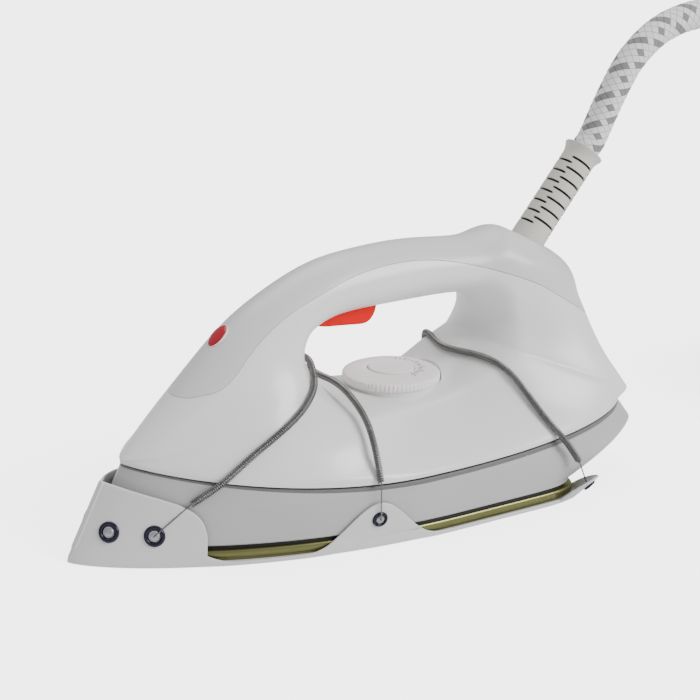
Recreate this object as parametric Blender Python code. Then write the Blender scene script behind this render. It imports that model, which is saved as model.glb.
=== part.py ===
"""Electric hand iron with a slip-on ironing shoe and a braided supply hose.

Frame: metres, +Z up. The nose points to -X, the heel to +X. The origin is under the middle
of the iron's box, on the surface that the shoe stands on.
"""
import math

import bmesh
import bpy
import numpy as np
from mathutils import Vector
from mathutils.bvhtree import BVHTree

MM = 0.001
GAP = 0.3 * MM                  # clearance between neighbouring pieces

# ---- overall plan: nose, heel and width -------------------------------------------------
NOSE = -150.0 * MM              # front tip of the shoe
HEEL = 150.0 * MM               # rearmost corner of the skirt
BODY_HALF = 63.0 * MM           # half width of the body at the seam
SOLE_LENGTH = 249.0 * MM        # shoe, tip to rear edge
SOLE_HALF = 62.7 * MM           # half width of the shoe
PLAN_COUNT = 52                 # points round a plan outline

# ---- shoe --------------------------------------------------------------------------------
SHOE_WALL = 1.2 * MM
SHOE_LEAN = 0.42                # nose wall leans back this much per unit of height
SHOE_NOSE_HEIGHT = 33.0 * MM
SHOE_NOSE_RUN = 47.0 * MM       # how far back the nose wall reaches
MID_TAB_X = -25.0 * MM
MID_TAB_HEIGHT = 23.5 * MM
MID_TAB_HALF = 27.0 * MM
REAR_TAB_HEIGHT = 11.0 * MM
REAR_TAB_HALF = 12.0 * MM
REAR_TAB_RISE = 44.0            # degrees above level
REAR_TAB_TURN = 60.0            # degrees from +X towards the side
FRONT_EYELET_RADIUS = 4.8 * MM
MID_EYELET_RADIUS = 3.7 * MM
REAR_EYELET_RADIUS = 3.3 * MM
EYELET_THICKNESS = 1.0 * MM
FRONT_EYELETS = ((-136.2 * MM, 15.0 * MM), (-120.5 * MM, 14.4 * MM))   # x and height
MID_EYELET_Z = 14.6 * MM

# ---- soleplate and what stands on it -----------------------------------------------------
SOLE_THICKNESS = 4.5 * MM
SOLE_INSET = 2.4 * MM           # soleplate edge to shoe edge
GASKET_THICKNESS = 1.2 * MM
CHAMBER_HEIGHT = 11.5 * MM
CHAMBER_HALF = 41.0 * MM
LID_THICKNESS = 2.0 * MM
ELEMENT_RADIUS = 3.2 * MM
SHIELD_THICKNESS = 1.0 * MM
SHIELD_Z = 27.0 * MM

# ---- skirt and seam ----------------------------------------------------------------------
SKIRT_WALL = 2.4 * MM
SKIRT_CORNER_Z = 27.0 * MM      # height of the heel's rearmost corner
SEAM_NOSE_X = NOSE + 25.0 * MM
SEAM_REAR_X = HEEL - 6.5 * MM
SEAM_LOW_X = 10.0 * MM
SEAM_NOSE_Z = 42.0 * MM
SEAM_LOW_Z = 31.0 * MM
SEAM_REAR_Z = 40.5 * MM
TRIM_THICKNESS = 1.8 * MM
TRIM_DEPTH = 3.4 * MM

# ---- shell, cover and handle --------------------------------------------------------------
SHELL_WALL = 2.6 * MM
SHELL_LIP = 2.0 * MM            # upright band just above the seam

# ---- dial ----------------------------------------------------------------------------------
DIAL_X = 21.5 * MM
DIAL_Z = 57.8 * MM              # underside of the knob
DIAL_RADIUS = 24.0 * MM
DIAL_HEIGHT = 7.0 * MM
DIAL_SIDES = 48
CAP_RADIUS = 11.4 * MM
SPINDLE_RADIUS = 3.0 * MM
THERMOSTAT_RADIUS = 14.0 * MM
THERMOSTAT_HEIGHT = 11.0 * MM

# ---- trigger ---------------------------------------------------------------------------------
TRIGGER_HALF = 6.5 * MM
PIVOT_X = -17.0 * MM
PIVOT_Z = 98.2 * MM
PIN_RADIUS = 1.2 * MM
SWITCH_X = 3.0 * MM
SWITCH_Z = 107.0 * MM           # underside of the micro switch
PLUNGER_RADIUS = 1.4 * MM

# ---- hose and strain relief --------------------------------------------------------------------
HOSE_DIAMETER = 15.0 * MM
RELIEF_X = 103.0 * MM
RELIEF_Z = 116.5 * MM
RELIEF_ANGLE = 50.5             # degrees above level
RELIEF_LENGTH = 53.0 * MM
RELIEF_RADIUS = 8.8 * MM
RELIEF_ROWS = 7
COIL_X = 350.0 * MM
COIL_Y = -20.0 * MM
COIL_INNER = 58.5 * MM
COIL_TURNS = 3.35
TAIL_LENGTH = 24.0 * MM

# ---- holding springs ---------------------------------------------------------------------------
SPRING_RADIUS = 2.1 * MM
WIRE_RADIUS = 0.5 * MM

SOLE_TOP = SHOE_WALL + GAP + SOLE_THICKNESS
SKIRT_FOOT = SOLE_TOP + GASKET_THICKNESS + 2 * GAP


# ---- small helpers -----------------------------------------------------------------------------
def clear_scene():
    for item in list(bpy.data.objects):
        bpy.data.objects.remove(item, do_unlink=True)


def material(name, colour, roughness, metallic=0.0):
    """A Principled material with one plain colour."""
    mat = bpy.data.materials.get(name) or bpy.data.materials.new(name)
    mat.use_nodes = True
    shader = mat.node_tree.nodes["Principled BSDF"]
    shader.inputs["Base Color"].default_value = (*colour, 1.0)
    shader.inputs["Roughness"].default_value = roughness
    shader.inputs["Metallic"].default_value = metallic
    return mat


def shell_white():
    return material("shell_white", (0.86, 0.86, 0.85), 0.32)


def cover_grey():
    return material("cover_grey", (0.74, 0.74, 0.73), 0.38)


def skirt_grey():
    return material("skirt_grey", (0.62, 0.62, 0.62), 0.4)


def shoe_white():
    return material("shoe_white", (0.82, 0.83, 0.84), 0.45)


def steel():
    return material("steel", (0.55, 0.55, 0.56), 0.3, 1.0)


def brass():
    return material("brass", (0.78, 0.6, 0.3), 0.3, 1.0)


def casting():
    return material("casting", (0.6, 0.61, 0.62), 0.5, 1.0)


def dark_plastic():
    return material("dark_plastic", (0.05, 0.05, 0.05), 0.5)


def red_plastic():
    return material("red_plastic", (0.8, 0.0, 0.0), 0.35)


def relief_beige():
    return material("relief_beige", (0.72, 0.69, 0.6), 0.5)


def add_object(name, bm, mat, smooth=True, oriented=False):
    """Wrap a bmesh as a named object with its normals facing out."""
    bmesh.ops.remove_doubles(bm, verts=bm.verts, dist=1e-6)
    if not oriented:
        bmesh.ops.recalc_face_normals(bm, faces=bm.faces)
    mesh = bpy.data.meshes.new(name)
    bm.to_mesh(mesh)
    bm.free()
    if smooth:
        mesh.shade_smooth()
        mesh.set_sharp_from_angle(angle=math.radians(35))
    mesh.materials.append(mat)
    item = bpy.data.objects.new(name, mesh)
    bpy.context.scene.collection.objects.link(item)
    return item


def face_outwards(bm):
    """Turn an open sheet's faces the way its widest face should look."""
    bmesh.ops.recalc_face_normals(bm, faces=bm.faces)
    bm.normal_update()
    widest = max(bm.faces, key=lambda face: face.calc_center_median().y)
    if widest.normal.y < 0:
        bmesh.ops.reverse_faces(bm, faces=bm.faces)
        bm.normal_update()


def add_faces(bm, points, faces):
    verts = [bm.verts.new(p) for p in points]
    for face in faces:
        bm.faces.new([verts[i] for i in face])


def grid_faces(rows, cols, close_rows, close_cols):
    """Quads over a grid of points stored row by row."""
    faces = []
    for r in range(rows if close_rows else rows - 1):
        for c in range(cols if close_cols else cols - 1):
            r2 = (r + 1) % rows
            c2 = (c + 1) % cols
            faces.append((r * cols + c, r * cols + c2, r2 * cols + c2, r2 * cols + c))
    return faces


def lofted(name, rings, mat, capped=True, closed=False, smooth=True):
    """A body through rings of equal point counts: capped at both ends, or joined to a torus."""
    bm = bmesh.new()
    count = len(rings[0])
    points = [p for ring in rings for p in ring]
    faces = grid_faces(len(rings), count, closed, True)
    if capped and not closed:
        last = (len(rings) - 1) * count
        faces.append(tuple(range(count)))
        faces.append(tuple(range(last, last + count)))
    add_faces(bm, points, faces)
    return add_object(name, bm, mat, smooth)


def prism(name, outline, low, high, mat, axis="Z", smooth=False):
    """An outline carried from low to high along an axis, as a closed solid."""
    place = {"Z": lambda p, t: (p[0], p[1], t), "Y": lambda p, t: (p[0], t, p[1])}[axis]
    rings = [[place(p, t) for p in outline] for t in (low, high)]
    return lofted(name, rings, mat, smooth=smooth)


def turned(name, profile, centre, mat, steps=32, direction=(0, 0, 1)):
    """A solid turned from (radius, height) points about an axis through centre."""
    turn = Vector((0, 0, 1)).rotation_difference(Vector(direction))
    rings = []
    for radius, height in profile:
        ring = []
        for k in range(steps):
            angle = 2 * math.pi * k / steps
            ring.append(turn @ Vector((radius * math.cos(angle), radius * math.sin(angle), height))
                        + Vector(centre))
        rings.append(ring)
    return lofted(name, rings, mat)


def rod(name, start, end, radius, mat, steps=16):
    start = Vector(start)
    end = Vector(end)
    length = (end - start).length
    return turned(name, [(radius, 0.0), (radius, length)], start, mat, steps, (end - start) / length)


def block(name, low, high, mat):
    (x0, y0, z0), (x1, y1, z1) = low, high
    return prism(name, [(x0, y0), (x1, y0), (x1, y1), (x0, y1)], z0, z1, mat)


def smooth_route(points, spacing):
    """A Catmull-Rom curve through the points, read off at an even spacing."""
    pts = np.array(points, float)
    ends = np.vstack([2 * pts[0] - pts[1], pts, 2 * pts[-1] - pts[-2]])
    dense = []
    for k in range(len(pts) - 1):
        a, b, c, d = ends[k:k + 4]
        for t in np.linspace(0, 1, 24, endpoint=False):
            dense.append(0.5 * (2 * b + (c - a) * t + (2 * a - 5 * b + 4 * c - d) * t ** 2
                                + (3 * b - a - 3 * c + d) * t ** 3))
    dense.append(pts[-1])
    dense = np.array(dense)
    run = np.concatenate([[0], np.cumsum(np.linalg.norm(np.diff(dense, axis=0), axis=1))])
    count = max(3, int(round(run[-1] / spacing)) + 1)
    marks = np.linspace(0, run[-1], count)
    return np.stack([np.interp(marks, run, dense[:, k]) for k in range(3)], axis=1)


def tube(name, points, radius, mat, resolution=2):
    """A curve object: a round tube with filled ends along the points."""
    curve = bpy.data.curves.new(name, "CURVE")
    curve.dimensions = "3D"
    curve.bevel_depth = radius
    curve.bevel_resolution = resolution
    curve.use_fill_caps = True
    spline = curve.splines.new("POLY")
    spline.points.add(len(points) - 1)
    for mark, p in zip(spline.points, points):
        mark.co = (*p, 1.0)
    curve.materials.append(mat)
    item = bpy.data.objects.new(name, curve)
    bpy.context.scene.collection.objects.link(item)
    return item


def hang_on_axis(name, place, names):
    """Parent the named pieces to an empty that stands on their joint's axis."""
    axis = bpy.data.objects.new(name, None)
    axis.location = place
    bpy.context.scene.collection.objects.link(axis)
    bpy.context.view_layer.update()
    for piece in names:
        item = bpy.data.objects[piece]
        item.parent = axis
        item.matrix_parent_inverse = axis.matrix_world.inverted()


def as_cutter(item):
    item.hide_render = True
    item.display_type = "WIRE"
    return item


def cut(item, cutter, operation="DIFFERENCE"):
    step = item.modifiers.new(cutter.name, "BOOLEAN")
    step.operation = operation
    step.solver = "EXACT"
    step.object = cutter


def thicken(item, wall):
    step = item.modifiers.new("wall", "SOLIDIFY")
    step.thickness = wall
    step.offset = -1.0
    step.use_even_offset = True
    step.use_quality_normals = True


# ---- plan outlines -------------------------------------------------------------------------------
def plan_width(x, tip, rear, half, widest, rear_power):
    """Half width at x: a pointed bow ahead of the widest place, a squarish stern behind it."""
    x = np.clip(np.asarray(x, float), tip, rear)
    bow = np.clip((widest - x) / (widest - tip), 0, 1)
    stern = np.clip((x - widest) / (rear - widest), 0, 1)
    return half * (1 - bow ** 2) ** 0.75 * (1 - stern ** rear_power) ** (1 / rear_power)


def plan_outline(tip, rear, half, widest, rear_power, count=PLAN_COUNT):
    """Closed outline with evenly spaced points, from the tip along +Y to the rear and back."""
    turn = np.linspace(0, math.pi / 2, 300)
    bow = np.stack([widest - (widest - tip) * np.cos(turn), half * np.sin(turn) ** 1.5], 1)
    back = turn[::-1]
    power = 2 / rear_power
    stern = np.stack([widest + (rear - widest) * np.cos(back) ** power, half * np.sin(back) ** power], 1)
    line = np.vstack([bow, stern[1:]])
    run = np.concatenate([[0], np.cumsum(np.linalg.norm(np.diff(line, axis=0), axis=1))])
    marks = np.linspace(0, run[-1], count // 2 + 1)
    side = np.stack([np.interp(marks, run, line[:, k]) for k in range(2)], 1)
    side[0] = (tip, 0)
    side[-1] = (rear, 0)
    return np.vstack([side, side[-2:0:-1] * (1, -1)])


def sole_plan(inset=0.0, lift=0.0):
    """Arguments of the shoe's plan, drawn in by inset, with its nose leaning back over lift."""
    tip = NOSE + inset + SHOE_LEAN * lift
    return (tip, NOSE + SOLE_LENGTH - inset, SOLE_HALF - inset, NOSE + 0.685 * SOLE_LENGTH, 9.0)


def belt_plan(inset=0.0):
    """Arguments of the body's plan at the seam."""
    return (SEAM_NOSE_X + inset, SEAM_REAR_X - inset, BODY_HALF - inset, 0.0, 3.4)


def seam_height(x):
    """The seam dips from the nose to its lowest place and climbs again to the heel."""
    x = np.asarray(x, float)
    front = np.clip((SEAM_LOW_X - x) / (SEAM_LOW_X - SEAM_NOSE_X), 0, None) ** 2
    rear = np.clip((x - SEAM_LOW_X) / (SEAM_REAR_X - SEAM_LOW_X), 0, None) ** 2
    return SEAM_LOW_Z + (SEAM_NOSE_Z - SEAM_LOW_Z) * front + (SEAM_REAR_Z - SEAM_LOW_Z) * rear


def ring_at(plan, height, count=PLAN_COUNT):
    """A plan outline as 3-D points; the height is a number or a function of x."""
    line = plan_outline(*plan, count=count)
    z = height(line[:, 0]) if callable(height) else np.full(len(line), height)
    return [tuple(p) for p in np.column_stack([line, z])]


def frame_ring(name, outer, inner, low, high, mat, count=PLAN_COUNT):
    """A closed flat ring between two plan outlines."""
    rings = [ring_at(outer, low, count), ring_at(outer, high, count),
             ring_at(inner, high, count), ring_at(inner, low, count)]
    return lofted(name, rings, mat, closed=True)


# ---- shell: sections carried round the handle opening ---------------------------------------------
# Each section: inner point (x, z) on the opening, outer point (x, z) on the outline or x on the
# seam, four half widths from inside to outside, and the rounding at both ends (share of length).
PROFILE_SECTIONS = [
    ((-28.5, 71.3), (-125.0, 44.0), (16, 33, 26, 13), 0.14, 0.12),
    ((-30.2, 77.0), (-117.0, 54.6), (15.5, 28, 22.5, 12), 0.15, 0.14),
    ((-30.4, 81.7), (-100.4, 69.9), (15, 23.5, 19.5, 13), 0.2, 0.25),
    ((-27.5, 87.0), (-81.5, 89.0), (15, 19.5, 18, 14), 0.27, 0.38),
    ((-22.8, 91.0), (-60.0, 107.0), (15, 17.5, 17, 15), 0.36, 0.5),
    ((-12.4, 94.0), (-29.8, 122.2), (15, 17, 17, 16), 0.45, 0.55),
    ((1.9, 95.0), (-5.7, 125.6), (15, 17, 17, 16), 0.45, 0.55),
    ((20.9, 95.3), (19.7, 125.8), (15, 17, 17, 16), 0.45, 0.55),
    ((39.9, 95.5), (42.9, 124.8), (15, 17, 17.5, 16), 0.45, 0.55),
    ((54.0, 95.6), (64.0, 124.0), (16, 18, 18, 17), 0.45, 0.5),
    ((61.5, 94.6), (79.0, 125.4), (17, 20, 19.5, 17), 0.42, 0.42),
    ((66.0, 91.6), (103.0, 117.0), (18, 24, 23, 20), 0.32, 0.34),
    ((67.8, 87.6), (122.5, 104.0), (19, 26, 25, 20), 0.22, 0.28),
    ((68.4, 83.0), (130.0, 82.0), (20, 29, 31, 25), 0.2, 0.28),
    ((67.5, 79.0), (136.5, 61.0), (22, 33, 38, 34), 0.18, 0.24),
    ((65.5, 74.0), (143.5, 42.5), (24, 38, 46, 46), 0.16, 0.16),
]
SEAM_SECTIONS = [
    ((60.5, 70.0), 128.0, (25, 40, 49, 50), 0.16, 0.12),
    ((52.0, 65.2), 95.0, (26, 38, 51, 59), 0.16, 0.1),
    ((40.5, 58.5), 58.0, (27, 34, 51, 62), 0.16, 0.1),
    ((25.7, 55.4), 25.0, (28, 34, 51, 63), 0.16, 0.1),
    ((6.7, 55.2), -8.0, (29, 37, 53, 63), 0.16, 0.1),
    ((-10.0, 57.2), -42.0, (31, 47, 55, 60), 0.16, 0.1),
    ((-20.5, 61.0), -75.0, (27, 44, 48, 46), 0.16, 0.1),
    ((-25.5, 65.5), -105.0, (20, 37, 36, 27), 0.15, 0.1),
    ((-27.4, 68.6), -118.0, (17.5, 35, 31, 17), 0.14, 0.1),
]
KNOTS = np.array([0.0, 0.35, 0.7, 1.0])


def catmull(rows, place, cyclic):
    """Value of a Catmull-Rom curve through rows at a place counted in rows."""
    count = len(rows)
    low = int(math.floor(place))
    t = place - low
    if cyclic:
        a, b, c, d = (rows[(low + k) % count] for k in (-1, 0, 1, 2))
    else:
        low = min(low, count - 2)
        t = place - low
        a, b, c, d = (rows[min(max(low + k, 0), count - 1)] for k in (-1, 0, 1, 2))
    return 0.5 * (2 * b + (c - a) * t + (2 * a - 5 * b + 4 * c - d) * t ** 2
                  + (3 * b - a - 3 * c + d) * t ** 3)


def section_table():
    """All sections as one array: inner x z, four widths and two roundings."""
    rows = [(*s[0], *s[2], s[3], s[4]) for s in PROFILE_SECTIONS + SEAM_SECTIONS]
    table = np.array(rows, float)
    table[:, :6] *= MM
    return table


def outer_point(place):
    """Outer end of the section at a place, and whether it lies on the seam."""
    last = len(PROFILE_SECTIONS) - 1
    if place <= last:
        rows = np.array([s[1] for s in PROFILE_SECTIONS], float) * MM
        return catmull(rows, place, False), False
    xs = [PROFILE_SECTIONS[-1][1][0]] + [s[1] for s in SEAM_SECTIONS] + [PROFILE_SECTIONS[0][1][0]]
    rows = np.array(xs, float) * MM
    x = float(np.clip(catmull(rows, place - last, False), SEAM_NOSE_X, SEAM_REAR_X))
    return np.array([x, float(seam_height(x)) + SHELL_LIP]), True


def section_halves(widths, round_in, round_out, end_share, s):
    """Half widths along a section: a cubic through four widths, rounded off at both ends."""
    total = np.zeros_like(s)
    for k, knot in enumerate(KNOTS):
        others = np.delete(KNOTS, k)
        total += widths[k] * np.prod([(s - o) / (knot - o) for o in others], axis=0)
    inner = 1 - np.clip(s / round_in, 0, 1)
    outer = 1 - np.clip((1 - s) / round_out, 0, 1)
    return total * np.sqrt(1 - inner ** 2) * np.sqrt(1 - (1 - end_share ** 2) * outer ** 2)


def section_steps(count):
    """Places along a section, closer together at both ends."""
    turn = np.linspace(0, math.pi, count)
    return 0.5 * (1 - np.cos(turn))


def shell_surface(per_section=2, across=9):
    """Points of the handpiece's outer surface, one row for each section."""
    table = section_table()
    count = len(table)
    seam_from = len(PROFILE_SECTIONS) - 1
    s = section_steps(across + 1)
    rows = []
    lips = []
    for k in range(count * per_section):
        place = k / per_section
        values = catmull(table, place, True)
        outer, on_seam = outer_point(place)
        inner = values[:2]
        end_share = 0.0
        widths = values[2:6].copy()
        if on_seam or place == 0:
            end = float(plan_width(outer[0], *belt_plan()))
            widths[3] = max(widths[3], end)
            end_share = end / widths[3]
        halves = section_halves(widths, values[6], values[7], end_share, s)
        line = inner + (outer - inner) * s[:, None]
        side = np.column_stack([line[:, 0], halves, line[:, 1]])
        row = np.vstack([side[::-1] * (1, -1, 1), side[1:]])
        rows.append(row)
        if place >= seam_from or k == 0:
            lip = row[[0, -1]].copy()
            lip[:, 2] = seam_height(lip[:, 0]) + GAP / 2
            lips.append((k, lip))
    return rows, lips


def shell_bmesh(per_section=2, across=9):
    """The handpiece's outer skin, open along the seam."""
    rows, lips = shell_surface(per_section, across)
    bm = bmesh.new()
    cols = len(rows[0])
    points = [tuple(p) for row in rows for p in row]
    faces = grid_faces(len(rows), cols, True, False)
    lips.sort(key=lambda item: item[0] if item[0] else len(rows))
    base = len(points)
    for _, lip in lips:
        points.extend(tuple(p) for p in lip)
    for n in range(len(lips) - 1):
        here = lips[n][0]
        there = lips[n + 1][0]
        for side, col in ((0, 0), (1, cols - 1)):
            quad = (here * cols + col, there * cols + col, base + 2 * n + 2 + side, base + 2 * n + side)
            faces.append(quad if side else quad[::-1])
    verts = [bm.verts.new(p) for p in points]
    for face in faces:
        bm.faces.new([verts[i] for i in face])
    bmesh.ops.remove_doubles(bm, verts=bm.verts, dist=2e-6)
    face_outwards(bm)
    return bm


COVER_LINE = [(-135, 71), (-100, 70), (-91, 71.5), (-82, 74.5), (-75, 80), (-68, 89), (-58, 98), (-45, 106),
              (-28, 112.5), (-12, 117.5), (8, 119.5), (28, 118.6), (48, 115.3), (70, 108.8), (90, 100.9),
              (103, 93), (113, 86.7), (124, 81.8), (160, 80.5)]


def cover_region(name, drop):
    """Everything above the line where the cover meets the shell, as a cutter."""
    line = [(x * MM, z * MM - drop) for x, z in COVER_LINE]
    outline = line + [(160 * MM, 160 * MM), (-135 * MM, 160 * MM)]
    return as_cutter(prism(name, outline, -90 * MM, 90 * MM, dark_plastic(), "Y"))


def relief_direction():
    angle = math.radians(RELIEF_ANGLE)
    return Vector((math.cos(angle), 0, math.sin(angle)))


def make_shell_and_cover():
    """The moulded shell and the cover of its handle, cut from one hollow skin."""
    shell = add_object("main_shell", shell_bmesh(), shell_white(), oriented=True)
    thicken(shell, SHELL_WALL)
    cover = add_object("handle_cover", shell_bmesh(), cover_grey(), oriented=True)
    thicken(cover, SHELL_WALL)
    lens = lens_body("cut_lens_hole", LENS_LONG + GAP, LENS_WIDE + GAP, -9 * MM, 6 * MM)
    cut(cover, as_cutter(lens))
    cut(shell, cover_region("cut_cover_from_shell", GAP))
    cut(cover, cover_region("keep_cover", 0.0), "INTERSECT")
    slot_half = TRIGGER_HALF + 2 * GAP
    slot = block("cut_trigger_slot", (-24.0 * MM, -slot_half, 88 * MM), (10.6 * MM, slot_half, 103 * MM),
                 dark_plastic())
    cut(shell, as_cutter(slot))
    hole = rod("cut_spindle_hole", (DIAL_X, 0, 40 * MM), (DIAL_X, 0, 70 * MM), SPINDLE_RADIUS + 1 * MM,
               dark_plastic())
    cut(shell, as_cutter(hole))
    pocket = rod("cut_dial_pocket", (DIAL_X, 0, DIAL_Z - 2 * GAP), (DIAL_X, 0, DIAL_Z + 20 * MM),
                 DIAL_RADIUS + 3 * GAP, dark_plastic(), 48)
    cut(shell, as_cutter(pocket))
    pin = rod("cut_shell_pin_hole", (PIVOT_X, -10.4 * MM, PIVOT_Z), (PIVOT_X, 10.4 * MM, PIVOT_Z),
              PIN_RADIUS + GAP, dark_plastic(), 16)
    cut(shell, as_cutter(pin))
    base = Vector((RELIEF_X, 0, RELIEF_Z))
    reach = relief_direction() * 30 * MM
    hole = rod("cut_relief_hole", base - reach, base + reach, RELIEF_RADIUS + GAP, dark_plastic(), 24)
    cut(cover, as_cutter(hole))
    return shell, cover


# ---- indicator lens ------------------------------------------------------------------------------
LENS_PLACE = Vector((-74.5 * MM, 0, 94.0 * MM))
LENS_SLOPE = 44.0               # degrees of the handle's slope there
LENS_LONG = 5.9 * MM
LENS_WIDE = 4.4 * MM


def lens_body(name, long_half, wide_half, low, high, crown=0.0):
    """An oval plug standing square to the handle's slope."""
    slope = math.radians(LENS_SLOPE)
    along = Vector((math.cos(slope), 0, math.sin(slope)))
    out = Vector((-math.sin(slope), 0, math.cos(slope)))
    place, _, _, _ = SKIN.ray_cast(LENS_PLACE + out * 30 * MM, -out)
    rings = []
    for height, share in ((low, 1.0), (high, 1.0), (high + crown, 0.6)):
        ring = []
        for k in range(24):
            angle = 2 * math.pi * k / 24
            ring.append(place + along * (long_half * share * math.cos(angle)) + out * height
                        + Vector((0, wide_half * share * math.sin(angle), 0)))
        rings.append(ring)
    if crown == 0.0:
        rings.pop()
    return lofted(name, rings, red_plastic())


# ---- skirt, trim and shoe ---------------------------------------------------------------------------
def skirt_plan(share):
    """The skirt's plan at a share of the height from its foot to the heel's corner."""
    lean = (SEAM_NOSE_X - NOSE - 8.5 * MM) / (SEAM_NOSE_Z - SKIRT_FOOT)
    foot_rear = NOSE + SOLE_LENGTH - 5 * MM
    rear = foot_rear + max(0.0, share - 0.12) / 0.88 * (HEEL - foot_rear)
    half = SOLE_HALF - 1.2 * MM + share * (BODY_HALF - SOLE_HALF + 1.2 * MM)
    tip = NOSE + 8.5 * MM + lean * share * (SKIRT_CORNER_Z - SKIRT_FOOT)
    widest = share * 5 * MM + (1 - share) * 20 * MM
    return (tip, rear, half, widest, 9.0 - 5.4 * share)


def skirt_rings():
    """Outlines of the skirt from its foot to the seam."""
    rings = []
    for share in (0.0, 0.12, 0.55, 1.0):
        rings.append(ring_at(skirt_plan(share), SKIRT_FOOT + share * (SKIRT_CORNER_Z - SKIRT_FOOT)))
    drop = TRIM_THICKNESS + 2.5 * GAP
    rings.append(ring_at(belt_plan(), lambda x: seam_height(x) - drop))
    return rings


def make_skirt():
    bm = bmesh.new()
    rings = skirt_rings()
    points = [p for ring in rings for p in ring]
    add_faces(bm, points, grid_faces(len(rings), PLAN_COUNT, False, True))
    face_outwards(bm)
    skirt = add_object("skirt", bm, skirt_grey(), oriented=True)
    thicken(skirt, SKIRT_WALL)
    return skirt


def make_seam_trim():
    low = TRIM_THICKNESS + GAP / 2
    high = GAP / 2
    return frame_ring("seam_trim", belt_plan(0.3 * MM), belt_plan(TRIM_DEPTH),
                      lambda x: seam_height(x) - low, lambda x: seam_height(x) - high, dark_plastic())


def nose_wall_height(x):
    """Top edge of the shoe's nose wall: sloping gently back, then rounding down to the floor."""
    run = (np.asarray(x, float) - NOSE) / SHOE_NOSE_RUN
    slope = 1 - 0.3 * run
    return SHOE_NOSE_HEIGHT * slope * np.clip(1 - np.clip(run, 0, 1) ** 6, 0, 1) ** 0.35


def mid_tab_height(x):
    """The tab at the middle of each side is a bell curve."""
    u = (np.asarray(x, float) - MID_TAB_X) / MID_TAB_HALF
    return MID_TAB_HEIGHT * np.clip(np.cos(np.clip(u, -1, 1) * math.pi / 2), 0, 1) ** 1.6


def rear_tab_share(line):
    """How far each outline point belongs to a rear corner's tab, from 0 to 1."""
    turn = math.radians(REAR_TAB_TURN)
    normal = outline_normals(line)
    facing = normal[:, 0] * math.cos(turn) + np.abs(normal[:, 1]) * math.sin(turn)
    corner = line[int(np.argmax(np.where(line[:, 1] > 0, facing, -1)))]
    reach = np.hypot(line[:, 0] - corner[0], np.abs(line[:, 1]) - corner[1])
    return np.clip(np.cos(np.clip(reach / REAR_TAB_HALF, 0, 1) * math.pi / 2), 0, 1) ** 0.8


def shoe_ring(line, share, inset):
    """The shoe's wall at a share of its full height, drawn in by inset."""
    normal = outline_normals(line)
    tab = rear_tab_share(line)
    ahead = line[:, 0] < NOSE + 0.7 * SOLE_LENGTH
    wall = np.maximum(nose_wall_height(line[:, 0]), mid_tab_height(line[:, 0])) * ahead
    low = SHOE_WALL if inset else 0.0
    z = low + share * np.maximum(SHOE_WALL - low + wall + tab * REAR_TAB_HEIGHT, 0.0)
    lean = SHOE_LEAN * z * np.clip(1 - (line[:, 0] - NOSE) / (60 * MM), 0, 1) ** 0.5
    outward = tab * share * REAR_TAB_HEIGHT / math.tan(math.radians(REAR_TAB_RISE))
    turn = math.radians(REAR_TAB_TURN)
    x = line[:, 0] + lean - normal[:, 0] * inset + outward * math.cos(turn)
    y = line[:, 1] - normal[:, 1] * inset
    side = np.sign(y)
    clear = np.zeros(len(line))
    for k, height in enumerate(z):
        rise = min(max((height - SKIRT_FOOT) / (SKIRT_CORNER_Z - SKIRT_FOOT), 0.0), 1.0)
        spare = SHOE_WALL - inset + 2 * GAP
        if ahead[k] and height > SOLE_TOP and wall[k] > 0:
            clear[k] = float(plan_width(x[k], *skirt_plan(rise))) + spare
    y = side * (np.maximum(np.abs(y), clear) + outward * math.sin(turn))
    return [tuple(p) for p in np.column_stack([x, y, z])]


def outline_normals(line):
    tangent = np.roll(line, -1, axis=0) - np.roll(line, 1, axis=0)
    normal = np.column_stack([-tangent[:, 1], tangent[:, 0]])
    normal /= np.linalg.norm(normal, axis=1)[:, None]
    return normal * (1 if normal[len(line) // 2, 0] > 0 else -1)


def make_shoe():
    """A thin pan: floor, nose wall, a tab at each side and a flared tab at each rear corner."""
    count = 150
    line = plan_outline(*sole_plan(), count=count)
    rings = [shoe_ring(line, share, 0.0) for share in (0.0, 0.35, 0.7, 1.0)]
    rings += [shoe_ring(line, share, SHOE_WALL) for share in (1.0, 0.7, 0.35, 0.0)]
    return lofted("shoe", rings, shoe_white())


# ---- eyelets and holding springs -----------------------------------------------------------------
def shoe_wall_point(x, z, side):
    """A point on the outside of the shoe's wall and the direction it faces."""
    line = plan_outline(*sole_plan(), count=400)
    half = len(line) // 2
    wall = []
    for dz in (-1.5 * MM, 0.0, 1.5 * MM):
        lean = SHOE_LEAN * (z + dz) * np.clip(1 - (line[:half, 0] - NOSE) / (60 * MM), 0, 1) ** 0.5
        rise = min(max((z + dz - SKIRT_FOOT) / (SKIRT_CORNER_Z - SKIRT_FOOT), 0.0), 1.0)
        bare = line[:half, 1]
        clear = plan_width(line[:half, 0] + lean, *skirt_plan(rise)) + SHOE_WALL + 2 * GAP
        wall.append((line[:half, 0] + lean, np.maximum(bare, clear)))
    widths = [np.interp([x - 2 * MM, x, x + 2 * MM], *w) for w in wall]
    along = Vector((4 * MM, side * (widths[1][2] - widths[1][0]), 0))
    up = Vector((0, side * (widths[2][1] - widths[0][1]), 3 * MM))
    out = along.cross(up).normalized()
    out *= 1 if out.y * side > 0 else -1
    return Vector((x, side * widths[1][1], z)), out


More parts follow.
